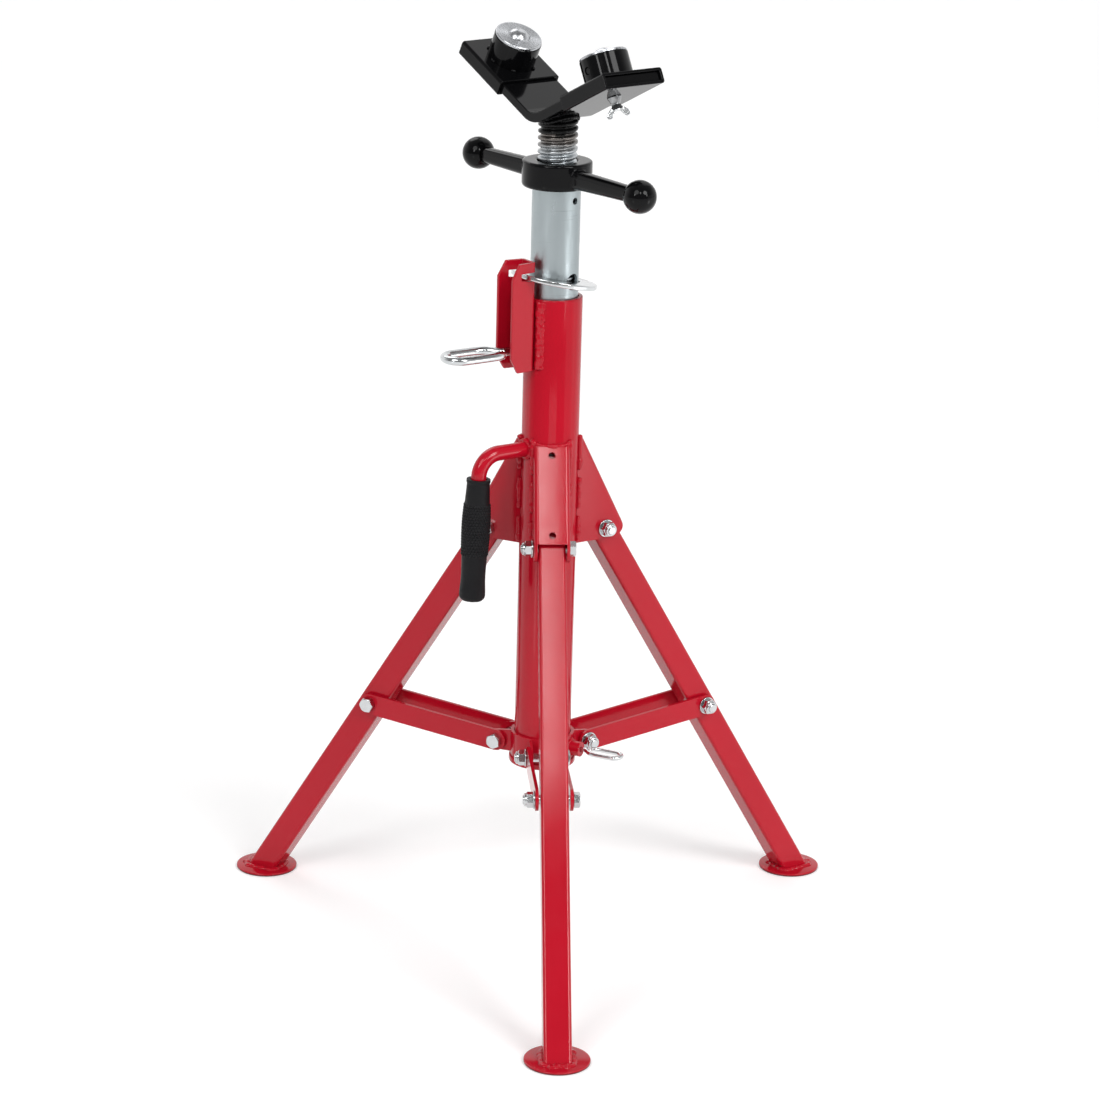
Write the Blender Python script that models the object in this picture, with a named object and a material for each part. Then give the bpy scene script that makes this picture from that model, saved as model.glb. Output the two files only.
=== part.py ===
"""V-head pipe stand: folding tripod, telescoping column, jack nut and a V-head with ball rollers.

Units are metres, +Z is up, and the front leg points to -Y.
The origin is on the floor under the middle of the stand's bounding box.
"""

import math

import bmesh
import bpy
from mathutils import Matrix, Vector

# Clearances
GAP = 0.0003
SLIDE_CLEARANCE = 0.0005
HOLE_CLEARANCE = 0.00035

# Column: outer tube and its stop ring
COLUMN_OD = 0.060
COLUMN_WALL = 0.004
COLUMN_BOTTOM_Z = 0.193
COLUMN_LENGTH = 0.5105
STOP_RING_OD = 0.071
STOP_RING_HEIGHT = 0.007

# Inner tube
TUBE_OD = 0.050
TUBE_WALL = 0.003
TUBE_LENGTH = 0.550
TUBE_SHOWN = 0.1136
TUBE_HOLE_D = 0.017
TUBE_HOLE_DROP = 0.096
TUBE_HOLE_PITCH = 0.075
TUBE_HOLE_COUNT = 3
TUBE_SMALL_HOLE_D = 0.0072
TUBE_SMALL_HOLE_DROP = 0.0117
TUBE_HOLE_AZIMUTH = -43.5

# Jack nut with its two arms and ball knobs
HUB_OD = 0.0724
HUB_HEIGHT = 0.0276
HUB_EDGE = 0.004
ARM_REACH = 0.1334
ARM_ROOT = 0.0195
ARM_TIP = 0.0160
ARM_SPIGOT_D = 0.010
ARM_SPIGOT_DEPTH = 0.010
ARM_DROP = 0.0015
ARM_AZIMUTH = -55.5
KNOB_D = 0.034

# Jack screw
SCREW_OD = 0.041
SCREW_SHOWN = 0.0415
SCREW_BELOW_HUB = 0.112

# V-plate
V_AZIMUTH = -55.0
V_RISE = 26.4
V_PLATE_THICKNESS = 0.0094
V_PLATE_WIDTH = 0.0693
V_BEND_RADIUS = 0.022
V_ARM_LENGTH = 0.125

# Sleeves on the V arms
SLEEVE_LENGTH = 0.0734
SLEEVE_WALL = 0.0031
SLEEVE_CLEARANCE = 0.0004
SLEEVE_CORNER = 0.003
SLEEVE_START = 0.0545

# Ball units and wing screws
HOUSING_D = 0.050
HOUSING_HEIGHT = 0.0252
CAP_D = 0.0488
CAP_THICKNESS = 0.0025
ROLLER_D = 0.0254
ROLLER_SHOWN_D = 0.022
BOSS_D = 0.0145
BOSS_END_D = 0.0100
BOSS_HEIGHT = 0.0062
WING_SCREW_D = 0.008
WING_NECK = 0.0013
WING_BODY_D = 0.012
WING_BODY_HEIGHT = 0.006
WING_SPAN = 0.024
WING_RISE = 0.0072
WING_THICKNESS = 0.0035

# Lock bracket, lock ring and lock pin at the top of the column
LOCK_AZIMUTH = 210.0
LOCK_BRACKET_WIDTH = 0.0306
LOCK_BRACKET_WEB_WIDTH = 0.0245
LOCK_BRACKET_REACH = 0.0605
LOCK_BRACKET_ABOVE = 0.0395
LOCK_BRACKET_BELOW = 0.0745
LOCK_BRACKET_CHAMFER = 0.0088
LOCK_BRACKET_CHAMFER_HEIGHT = 0.0155
LOCK_SLOT_REACH = 0.049
LOCK_SLOT_ABOVE_PIVOT = 0.0036
LOCK_SLOT_BELOW_PIVOT = 0.0064
LOCK_SLOT_BELOW_AT_END = 0.0034
RING_OD = 0.090
RING_THICKNESS = 0.005
RING_TUBE_CLEARANCE = 0.0016
RING_TILT = 11.6
RING_PIVOT_REACH = 0.0442
RING_PIVOT_ABOVE_COLUMN = 0.0255
RING_OFFSET_AT_REST = 0.0003
LOCK_PIN_D = 0.0088
LOCK_PIN_BELOW_COLUMN = 0.0535
LOCK_LOOP_START = 0.064
LOCK_LOOP_TIP = 0.1335
LOCK_LOOP_HALF_WIDTH = 0.0155

# Carry handle
HANDLE_AZIMUTH = 210.0
HANDLE_ROD_D = 0.016
HANDLE_Z = 0.5426
HANDLE_REACH = 0.0876
HANDLE_BEND = 0.0238
HANDLE_LEAN = 2.4
GRIP_TOP_Z = 0.518
GRIP_LENGTH = 0.130
GRIP_END_THICKNESS = 0.005
GRIP_LIP_D = 0.0250
GRIP_NECK_D = 0.0240
GRIP_SWELL_D = 0.0282
GRIP_WAIST_D = 0.0256
GRIP_BULB_D = 0.0272
GRIP_TIP_D = 0.0220

# Folding legs
LEG_AZIMUTHS = {"front": -90.0, "right": 30.0, "left": 150.0}
FOOT_RADIUS = 0.3423
FOOT_D = 0.0673
FOOT_THICKNESS = 0.003
LEG_WIDTH = 0.0286
LEG_WALL = 0.0025
LEG_CORNER = 0.0035
LEG_TOP_EXTRA = 0.011
LEG_PIVOT_RADIUS = 0.0612
LEG_PIVOT_Z = 0.4484
LEG_TO_STRAP_PIVOT = 0.2644

# Leg brackets
PLATE = 0.0035
BRACKET_SIDE_GAP = 0.001
BRACKET_SLOPE = 28.4
BRACKET_WEB_OFFSET = 0.0222
BRACKET_WEB_LENGTH = 0.103
BRACKET_NOSE_OUT = 0.010
BRACKET_NOSE_UP = 0.0015
BRACKET_BEND = 0.005
BRACKET_HOLE_D = 0.0075
BRACKET_HOLE_INSET = 0.0092
BRACKET_TOP_RISE = 0.0065

# Sliding collar, its ears and the straps to the legs
COLLAR_WALL = 0.0035
COLLAR_HEIGHT = 0.0267
COLLAR_PIVOT_RADIUS = 0.0466
COLLAR_PIVOT_UP = 0.0119
EAR_THICKNESS = 0.003
EAR_RADIUS = 0.011
STRAP_SIDE_GAP = 0.0017
STRAP_HEIGHT = 0.023
COLLAR_PIN_AZIMUTH = -30.0
COLLAR_PIN_D = 0.005
COLLAR_PIN_UP = 0.0125
PIN_BOSS_D = 0.016
PIN_BOSS_REACH = 0.0465
PIN_LOOP_START = 0.0535
PIN_LOOP_TIP = 0.0955
PIN_LOOP_HALF_WIDTH = 0.0085

# Hex bolts, with a washer under each lock nut
BOLT_D = 0.0095
BOLT_ACROSS_FLATS = 0.0145
BOLT_HEAD_HEIGHT = 0.0068
NUT_HEIGHT = 0.007
NUT_DOME = 0.0025
WASHER_D = 0.019
WASHER_THICKNESS = 0.0016

# Facets of round forms
FINE = 32
MEDIUM = 24
COARSE = 10

# Worked-out sizes
COLUMN_R = COLUMN_OD / 2
TUBE_R = TUBE_OD / 2
COLUMN_TOP_Z = COLUMN_BOTTOM_Z + COLUMN_LENGTH
TUBE_TOP_Z = COLUMN_TOP_Z + TUBE_SHOWN
HUB_BOTTOM_Z = TUBE_TOP_Z + GAP
HUB_TOP_Z = HUB_BOTTOM_Z + HUB_HEIGHT
HUB_MID_Z = HUB_BOTTOM_Z + HUB_HEIGHT / 2 - ARM_DROP
V_UNDERSIDE_Z = HUB_TOP_Z + SCREW_SHOWN
V_SLOPE = math.radians(V_RISE)
V_BEND_CENTRE_Z = V_UNDERSIDE_Z + V_PLATE_THICKNESS + V_BEND_RADIUS
V_CORNER_Z = V_BEND_CENTRE_Z - V_BEND_RADIUS / math.cos(V_SLOPE)
RING_PIVOT_Z = COLUMN_TOP_Z + RING_PIVOT_ABOVE_COLUMN
LOCK_PIN_Z = COLUMN_TOP_Z - LOCK_PIN_BELOW_COLUMN
STAND_Y = FOOT_RADIUS / 4

LEG_TILT = math.atan2(FOOT_RADIUS - LEG_PIVOT_RADIUS, LEG_PIVOT_Z - FOOT_THICKNESS)
BRACKET_INNER = LEG_WIDTH / 2 + BRACKET_SIDE_GAP
BRACKET_OUTER = BRACKET_INNER + PLATE
STRAP_INNER = LEG_WIDTH / 2 + STRAP_SIDE_GAP
STRAP_OUTER = STRAP_INNER + PLATE
COLLAR_BOTTOM_Z = COLUMN_BOTTOM_Z + STOP_RING_HEIGHT + GAP
COLLAR_R = COLUMN_R + SLIDE_CLEARANCE + COLLAR_WALL
COLLAR_PIVOT_Z = COLLAR_BOTTOM_Z + COLLAR_PIVOT_UP
COLLAR_PIN_Z = COLLAR_BOTTOM_Z + COLLAR_PIN_UP
STRAP_PIVOT_R = LEG_PIVOT_RADIUS + LEG_TO_STRAP_PIVOT * math.sin(LEG_TILT)
STRAP_PIVOT_Z = LEG_PIVOT_Z - LEG_TO_STRAP_PIVOT * math.cos(LEG_TILT)
STRAP_LENGTH = math.hypot(STRAP_PIVOT_R - COLLAR_PIVOT_RADIUS, STRAP_PIVOT_Z - COLLAR_PIVOT_Z)
STRAP_ANGLE = math.atan2(STRAP_PIVOT_Z - COLLAR_PIVOT_Z, STRAP_PIVOT_R - COLLAR_PIVOT_RADIUS)

# Colour, roughness and metallic value of each finish
FINISHES = {
    "red_paint": ((0.42, 0.012, 0.022, 1.0), 0.30, 0.0),
    "black_paint": ((0.012, 0.012, 0.013, 1.0), 0.22, 0.0),
    "zinc_tube": ((0.52, 0.57, 0.59, 1.0), 0.38, 1.0),
    "bright_zinc": ((0.75, 0.77, 0.78, 1.0), 0.22, 1.0),
    "machined_steel": ((0.70, 0.71, 0.72, 1.0), 0.25, 1.0),
    "rubber": ((0.025, 0.025, 0.027, 1.0), 0.75, 0.0),
}

# Turns a shape drawn in X and Y, with its depth along Z, upright: Y becomes Z
UPRIGHT = Matrix.Rotation(math.pi / 2, 4, "X")
# Turns a shape that stands along Z so that it lies along +Y
ALONG_Y = Matrix.Rotation(-math.pi / 2, 4, "X")
# Turns a shape that stands along Z so that it lies along +X
ALONG_X = Matrix.Rotation(math.pi / 2, 4, "Y")


def clear_scene():
    for item in list(bpy.data.objects):
        bpy.data.objects.remove(item, do_unlink=True)


def closed_mesh(bm):
    """A mesh with its faces pointing out."""
    bmesh.ops.recalc_face_normals(bm, faces=bm.faces)
    mesh = bpy.data.meshes.new("shape")
    bm.to_mesh(mesh)
    bm.free()
    return mesh


def moved(mesh, matrix):
    mesh.transform(matrix)
    return mesh


def turned(profile, sides):
    """A solid of revolution about Z. The profile is a closed outline of (radius, height) points."""
    bm = bmesh.new()
    rings = []
    for radius, height in profile:
        if radius == 0.0:
            rings.append([bm.verts.new((0.0, 0.0, height))])
            continue
        angles = [2 * math.pi * i / sides for i in range(sides)]
        rings.append([bm.verts.new((radius * math.cos(a), radius * math.sin(a), height)) for a in angles])
    for lower, upper in zip(rings, rings[1:] + rings[:1]):
        for i in range(sides):
            j = (i + 1) % sides
            if len(lower) > 1 and len(upper) > 1:
                bm.faces.new((lower[i], lower[j], upper[j], upper[i]))
            elif len(lower) > 1:
                bm.faces.new((lower[i], lower[j], upper[0]))
            elif len(upper) > 1:
                bm.faces.new((lower[0], upper[j], upper[i]))
    return closed_mesh(bm)


def cylinder(radius, low, high, sides=MEDIUM):
    return turned([(0.0, low), (radius, low), (radius, high), (0.0, high)], sides)


def prism(outline, low, high):
    """An outline in X and Y, extruded along Z."""
    bm = bmesh.new()
    bottom = [bm.verts.new((x, y, low)) for x, y in outline]
    top = [bm.verts.new((x, y, high)) for x, y in outline]
    bm.faces.new(bottom)
    bm.faces.new(top)
    count = len(outline)
    for i in range(count):
        j = (i + 1) % count
        bm.faces.new((bottom[i], bottom[j], top[j], top[i]))
    return closed_mesh(bm)


def box(low, high):
    corners = [(low[0], low[1]), (high[0], low[1]), (high[0], high[1]), (low[0], high[1])]
    return prism(corners, low[2], high[2])


def lofted(sections):
    """A solid through closed sections, each a list of as many points."""
    bm = bmesh.new()
    rings = [[bm.verts.new(point) for point in section] for section in sections]
    for lower, upper in zip(rings, rings[1:]):
        count = len(lower)
        for i in range(count):
            j = (i + 1) % count
            bm.faces.new((lower[i], lower[j], upper[j], upper[i]))
    bm.faces.new(rings[0])
    bm.faces.new(rings[-1])
    return closed_mesh(bm)


def swept(path, radius, sides=COARSE):
    """A round rod along a path of points, with flat ends."""
    points = [Vector(point) for point in path]
    sections = []
    side = Vector((0.0, 0.0, 1.0))
    for i, point in enumerate(points):
        ahead = points[min(i + 1, len(points) - 1)]
        behind = points[max(i - 1, 0)]
        along = (ahead - behind).normalized()
        side = side - along * side.dot(along)
        if side.length < 1e-6:
            side = along.orthogonal()
        side.normalize()
        across = along.cross(side)
        angles = [2 * math.pi * k / sides for k in range(sides)]
        sections.append([point + (side * math.cos(a) + across * math.sin(a)) * radius for a in angles])
    return lofted(sections)


def arc(centre, radius, start, end, steps):
    """Points on an arc, with angles in degrees."""
    angles = [math.radians(start + (end - start) * i / steps) for i in range(steps + 1)]
    return [(centre[0] + radius * math.cos(a), centre[1] + radius * math.sin(a)) for a in angles]


def smooth_path(points, steps):
    """Points on a Catmull-Rom curve through the given points."""
    knots = [Vector(p) for p in points]
    knots = [knots[0] * 2 - knots[1]] + knots + [knots[-1] * 2 - knots[-2]]
    path = []
    for a, b, c, d in zip(knots, knots[1:], knots[2:], knots[3:]):
        for i in range(steps):
            t = i / steps
            second = 2 * a - 5 * b + 4 * c - d
            third = 3 * b - a - 3 * c + d
            path.append(0.5 * (2 * b + (c - a) * t + second * t * t + third * t ** 3))
    return path + [knots[-2]]


def rounded_rectangle(width, height, radius, steps=3):
    x = width / 2 - radius
    y = height / 2 - radius
    corners = (((x, y), 0), ((-x, y), 90), ((-x, -y), 180), ((x, -y), 270))
    outline = []
    for centre, start in corners:
        outline += arc(centre, radius, start, start + 90, steps)
    return outline


def hexagon(across_flats):
    return arc((0.0, 0.0), across_flats / math.sqrt(3), 0, 300, 5)


def combined(mesh, other, operation):
    """The exact Boolean of two closed meshes."""
    scene = bpy.context.scene.collection
    base = bpy.data.objects.new("base", mesh)
    tool = bpy.data.objects.new("tool", other)
    scene.objects.link(base)
    scene.objects.link(tool)
    modifier = base.modifiers.new("combine", "BOOLEAN")
    modifier.operation = operation
    modifier.solver = "EXACT"
    modifier.object = tool
    result = bpy.data.meshes.new_from_object(base.evaluated_get(bpy.context.evaluated_depsgraph_get()))
    bpy.data.objects.remove(base)
    bpy.data.objects.remove(tool)
    return result


def cut(mesh, *tools):
    for tool in tools:
        mesh = combined(mesh, tool, "DIFFERENCE")
    return mesh


def joined(mesh, *others):
    for other in others:
        mesh = combined(mesh, other, "UNION")
    return mesh


def finish_material(node, finish):
    colour, roughness, metallic = FINISHES[finish]
    material = bpy.data.materials.new(node + "_finish")
    material.use_nodes = True
    shader = material.node_tree.nodes["Principled BSDF"]
    shader.inputs["Base Color"].default_value = colour
    shader.inputs["Roughness"].default_value = roughness
    shader.inputs["Metallic"].default_value = metallic
    material.diffuse_color = colour
    return material


def place(node, mesh, finish, parent, location=(0.0, 0.0, 0.0), rotation=(0.0, 0.0, 0.0)):
    """One named sub-part, seated under its parent empty."""
    mesh.name = node
    mesh.materials.clear()
    mesh.materials.append(finish_material(node, finish))
    mesh.shade_smooth()
    mesh.set_sharp_from_angle(angle=math.radians(35))
    item = bpy.data.objects.new(node, mesh)
    bpy.context.scene.collection.objects.link(item)
    item.parent = parent
    item.location = location
    item.rotation_euler = rotation
    return item


def empty(name, parent=None, location=(0.0, 0.0, 0.0), rotation=(0.0, 0.0, 0.0)):
    item = bpy.data.objects.new(name, None)
    bpy.context.scene.collection.objects.link(item)
    item.parent = parent
    item.location = location
    item.rotation_euler = rotation
    return item


def station(name, stand, azimuth):
    """An empty whose +X runs out from the column's axis at an azimuth in degrees."""
    return empty(name, stand, rotation=(0.0, 0.0, math.radians(azimuth)))


def radial_drill(radius, azimuth, height, near, far, sides=COARSE):
    """A drill across the column's axis, from one distance to another along an azimuth."""
    drill = moved(cylinder(radius, near, far, sides), ALONG_X)
    drill = moved(drill, Matrix.Translation((0.0, 0.0, height)))
    return moved(drill, Matrix.Rotation(math.radians(azimuth), 4, "Z"))


def make_column(stand):
    inner = COLUMN_R - COLUMN_WALL
    low = COLUMN_BOTTOM_Z
    top = COLUMN_TOP_Z
    tube = turned([(inner, low), (COLUMN_R, low), (COLUMN_R, top), (inner, top)], FINE)
    lock_hole = radial_drill(LOCK_PIN_D / 2 + HOLE_CLEARANCE, LOCK_AZIMUTH, LOCK_PIN_Z, 0.0, COLUMN_OD)
    hole = COLLAR_PIN_D / 2 + HOLE_CLEARANCE
    pin_hole = radial_drill(hole, COLLAR_PIN_AZIMUTH, COLLAR_PIN_Z, 0.0, COLUMN_OD)
    place("outer_tube", cut(tube, lock_hole, pin_hole), "red_paint", stand)

    ring_inner = COLUMN_R + GAP
    ring_outer = STOP_RING_OD / 2
    ring_top = COLUMN_BOTTOM_Z + STOP_RING_HEIGHT
    ring = [
        (ring_inner, COLUMN_BOTTOM_Z),
        (ring_outer, COLUMN_BOTTOM_Z),
        (ring_outer, ring_top),
        (ring_inner, ring_top),
    ]
    place("column_stop_ring", turned(ring, FINE), "red_paint", stand)


def make_inner_tube(stand):
    inner = TUBE_R - TUBE_WALL
    tube = turned([(inner, -TUBE_LENGTH), (TUBE_R, -TUBE_LENGTH), (TUBE_R, 0.0), (inner, 0.0)], FINE)
    for i in range(TUBE_HOLE_COUNT):
        drop = TUBE_HOLE_DROP + i * TUBE_HOLE_PITCH
        drill = radial_drill(TUBE_HOLE_D / 2, TUBE_HOLE_AZIMUTH, -drop, -TUBE_OD, TUBE_OD, 16)
        tube = cut(tube, drill)
    small = radial_drill(TUBE_SMALL_HOLE_D / 2, TUBE_HOLE_AZIMUTH, -TUBE_SMALL_HOLE_DROP, 0.0, TUBE_OD)
    place("inner_tube", cut(tube, small), "zinc_tube", stand, (0.0, 0.0, TUBE_TOP_Z))


def arm_section(distance, size):
    """A rounded, slightly flattened section of a nut arm, at a distance along X."""
    outline = rounded_rectangle(size * 0.92, size, size * 0.36)
    return [(distance, y, z) for y, z in outline]


def make_jack_nut(stand):
    turn = empty("jack_nut_axis", stand, (0.0, 0.0, HUB_BOTTOM_Z), (0.0, 0.0, math.radians(ARM_AZIMUTH)))
    bore = SCREW_OD / 2 + SLIDE_CLEARANCE
    outer = HUB_OD / 2
    hub = [(bore, 0.0), (outer - HUB_EDGE, 0.0)]
    hub += arc((outer - HUB_EDGE, HUB_EDGE), HUB_EDGE, -90, 0, 4)[1:]
    hub += [(outer, HUB_HEIGHT - HUB_EDGE / 2), (outer - HUB_EDGE / 2, HUB_HEIGHT), (bore, HUB_HEIGHT)]
    nut = turned(hub, FINE)
    mid = HUB_MID_Z - HUB_BOTTOM_Z
    root = (bore + outer) / 2
    tip = ARM_REACH - KNOB_D / 2
    for side in (0.0, math.pi):
        shaft = lofted([arm_section(root, ARM_ROOT), arm_section(tip, ARM_TIP)])
        spigot = cylinder(ARM_SPIGOT_D / 2, tip - KNOB_D / 8, tip + ARM_SPIGOT_DEPTH, COARSE)
        spigot = moved(spigot, ALONG_X)
        arm = moved(joined(shaft, spigot), Matrix.Translation((0.0, 0.0, mid)))
        nut = joined(nut, moved(arm, Matrix.Rotation(side, 4, "Z")))
    place("jack_nut", nut, "black_paint", turn)

    for name, side in (("right", 1.0), ("left", -1.0)):
        round_side = arc((0.0, 0.0), KNOB_D / 2, -72, 72, 7)
        knob = turned([(0.0, -KNOB_D / 2)] + round_side + [(0.0, KNOB_D / 2)], 16)
        seat_r = ARM_TIP * 0.66
        flat = math.sqrt((KNOB_D / 2) ** 2 - seat_r ** 2)
        face = moved(cylinder(KNOB_D, -KNOB_D, -flat, COARSE), ALONG_X)
        bore_hole = cylinder(ARM_SPIGOT_D / 2 + GAP, -KNOB_D, ARM_SPIGOT_DEPTH + GAP - flat, COARSE)
        knob = cut(knob, face, moved(bore_hole, ALONG_X))
        turn_round = 0.0 if side > 0 else math.pi
        # The knob's flat seats on the end of the arm
        reach = ARM_REACH - KNOB_D / 2 + GAP + flat
        place(name + "_knob", knob, "black_paint", turn, (side * reach, 0.0, mid), (0.0, 0.0, turn_round))


def v_outline(grow=0.0):
    """The bent plate's outline in X and Z. Grow thickens its underside."""
    slope = V_SLOPE
    thick = V_PLATE_THICKNESS + grow
    along = Vector((math.cos(slope), math.sin(slope)))
    under = Vector((math.sin(slope), -math.cos(slope)))
    corner = Vector((0.0, V_CORNER_Z))
    top_end = corner + along * V_ARM_LENGTH
    low_end = top_end + under * thick
    centre = (0.0, V_BEND_CENTRE_Z)
    top = arc(centre, V_BEND_RADIUS, -90 - V_RISE, -90 + V_RISE, 8)
    low = arc(centre, V_BEND_RADIUS + thick, -90 + V_RISE, -90 - V_RISE, 8)
    right = [tuple(top_end), tuple(low_end)]
    left = [(-x, y) for x, y in reversed(right)]
    return top + right + low + left


def make_screw_and_plate(stand):
    head = empty("v_head", stand, rotation=(0.0, 0.0, math.radians(V_AZIMUTH)))
    half = V_PLATE_WIDTH / 2
    plate = moved(prism(v_outline(), -half, half), UPRIGHT)
    place("v_plate", plate, "black_paint", head)

    top = V_UNDERSIDE_Z + V_PLATE_THICKNESS
    low = HUB_BOTTOM_Z - SCREW_BELOW_HUB
    tip = SCREW_OD / 20
    radius = SCREW_OD / 2
    screw = turned([(0.0, low), (radius - tip, low), (radius, low + tip), (radius, top), (0.0, top)], FINE)
    place("jack_screw", cut(screw, underside_tool()), "machined_steel", head)
    return head


def underside_tool():
    """What lies above the plate's underside over the screw, with a gap."""
    radius = V_BEND_RADIUS + V_PLATE_THICKNESS + GAP
    low = arc((0.0, V_BEND_CENTRE_Z), radius, -90 - V_RISE, -90 + V_RISE, 8)
    reach = low[-1][0] + V_PLATE_WIDTH
    rise = low[-1][1] + V_PLATE_WIDTH * math.tan(V_SLOPE)
    high = rise + V_PLATE_WIDTH
    outline = low + [(reach, rise), (reach, high), (-reach, high), (-reach, rise)]
    return moved(prism(outline, -V_PLATE_WIDTH, V_PLATE_WIDTH), UPRIGHT)


def wing_outline():
    """One wing of a wing screw, in X (out) and Z (down from the body's top)."""
    out = WING_SPAN / 2
    down = WING_BODY_HEIGHT + WING_RISE
    lobe = WING_RISE * 0.45
    outline = [(0.0, WING_BODY_HEIGHT * 0.35), (WING_BODY_D / 2, WING_BODY_HEIGHT * 0.45)]
    outline += arc((out - lobe, down - lobe), lobe, -50, 130, 6)
    outline += [(WING_BODY_D * 0.2, WING_BODY_HEIGHT)]
    return [(x, -z) for x, z in outline]


def make_sleeves(head):
    outer_width = V_PLATE_WIDTH + 2 * (SLEEVE_CLEARANCE + SLEEVE_WALL)
    outer_height = V_PLATE_THICKNESS + 2 * (SLEEVE_CLEARANCE + SLEEVE_WALL)
    inner_width = outer_width - 2 * SLEEVE_WALL
    inner_height = outer_height - 2 * SLEEVE_WALL
    half = SLEEVE_LENGTH / 2
    top = SLEEVE_CLEARANCE + SLEEVE_WALL
    bottom = top - outer_height
    along_arm = ALONG_X @ Matrix.Rotation(math.pi / 2, 4, "Z")
    for name, side in (("right", 0.0), ("left", math.pi)):
        # Each arm's frame has X along the arm, Z along its normal, and its origin on the sharp corner
        turn = Matrix.Rotation(side, 3, "Z") @ Matrix.Rotation(-V_SLOPE, 3, "Y")
        arm = empty(name + "_arm", head, (0.0, 0.0, V_CORNER_Z), turn.to_euler())
        slide = empty(name + "_sleeve_slide", arm, (SLEEVE_START + half, 0.0, 0.0))

        shell = prism(rounded_rectangle(outer_width, outer_height, SLEEVE_CORNER), -half, half)
        core = rounded_rectangle(inner_width, inner_height, SLEEVE_CORNER / 3, 2)
        core = prism(core, -SLEEVE_LENGTH, SLEEVE_LENGTH)
        sleeve = moved(cut(shell, core), along_arm)
        sleeve = moved(sleeve, Matrix.Translation((0.0, 0.0, (top + bottom) / 2)))
        hole = WING_SCREW_D / 2 + HOLE_CLEARANCE
        screw_hole = cylinder(hole, bottom - half, -V_PLATE_THICKNESS / 2, COARSE)
        place(name + "_sleeve", cut(sleeve, screw_hole), "black_paint", slide)

        make_ball_unit(name, slide, top + GAP)
        make_wing_screw(name, slide, bottom - GAP)


def make_ball_unit(name, slide, base):
    """A ball held between its housing and its cap, on the sleeve's top face."""
    roller = ROLLER_D / 2
    total = HOUSING_HEIGHT + GAP + CAP_THICKNESS
    sink = math.sqrt(roller ** 2 - (ROLLER_SHOWN_D / 2) ** 2)
    centre = total - sink
    cup = roller + GAP
    outer = HOUSING_D / 2
    edge = HOUSING_D / 50
    housing = [(0.0, 0.0), (outer, 0.0), (outer, HOUSING_HEIGHT - edge), (outer - edge, HOUSING_HEIGHT)]
    housing += [(cup, HOUSING_HEIGHT)] + arc((0.0, centre), cup, 0, -70, 4) + [(0.0, centre - cup)]
    place(name + "_ball_housing", turned(housing, MEDIUM), "black_paint", slide, (0.0, 0.0, base))

    cap_low = HOUSING_HEIGHT + GAP

    def clear_radius(height):
        return math.sqrt(max(cup ** 2 - (height - centre) ** 2, 0.0))

    cap_outer = CAP_D / 2
    chamfer = CAP_THICKNESS * 0.3
    cap = [
        (clear_radius(cap_low), cap_low),
        (cap_outer, cap_low),
        (cap_outer, total - chamfer),
        (cap_outer - chamfer, total),
        (clear_radius(total), total),
    ]
    place(name + "_ball_cap", turned(cap, MEDIUM), "machined_steel", slide, (0.0, 0.0, base))

    ball = turned([(0.0, -roller)] + arc((0.0, 0.0), roller, -72, 72, 7) + [(0.0, roller)], 16)
    place(name + "_roller_ball", ball, "machined_steel", slide, (0.0, 0.0, base + centre))


def make_wing_screw(name, slide, base):
    """A tapered boss under the sleeve and the wing screw that runs through it."""
    hole = WING_SCREW_D / 2 + HOLE_CLEARANCE
    low = base - BOSS_HEIGHT
    rim = base - BOSS_HEIGHT / 8
    boss = [(0.0, low), (BOSS_END_D / 2, low), (BOSS_D / 2, rim), (BOSS_D / 2, base), (0.0, base)]
    boss = turned(boss, 16)
    boss = cut(boss, cylinder(hole, low - BOSS_HEIGHT, base + BOSS_HEIGHT, COARSE))
    place(name + "_screw_boss", boss, "bright_zinc", slide)

    tip = -V_PLATE_THICKNESS - GAP
    body_top = low - WING_NECK
    body_low = body_top - WING_BODY_HEIGHT
    shank = cylinder(WING_SCREW_D / 2, body_top - WING_BODY_HEIGHT / 2, tip, COARSE)
    flare = WING_BODY_D * 0.38
    body = turned(
        [(0.0, body_low), (WING_BODY_D / 2, body_low), (flare, body_top), (0.0, body_top)],
        COARSE,
    )
    screw = joined(shank, body)
    for turn in (0.0, math.pi):
        half = WING_THICKNESS / 2
        wing = moved(prism(wing_outline(), -half, half), UPRIGHT)
        wing = moved(wing, Matrix.Translation((0.0, 0.0, body_top)))
        screw = joined(screw, moved(wing, Matrix.Rotation(turn + math.radians(60), 4, "Z")))
    place(name + "_wing_screw", screw, "bright_zinc", slide)


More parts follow.
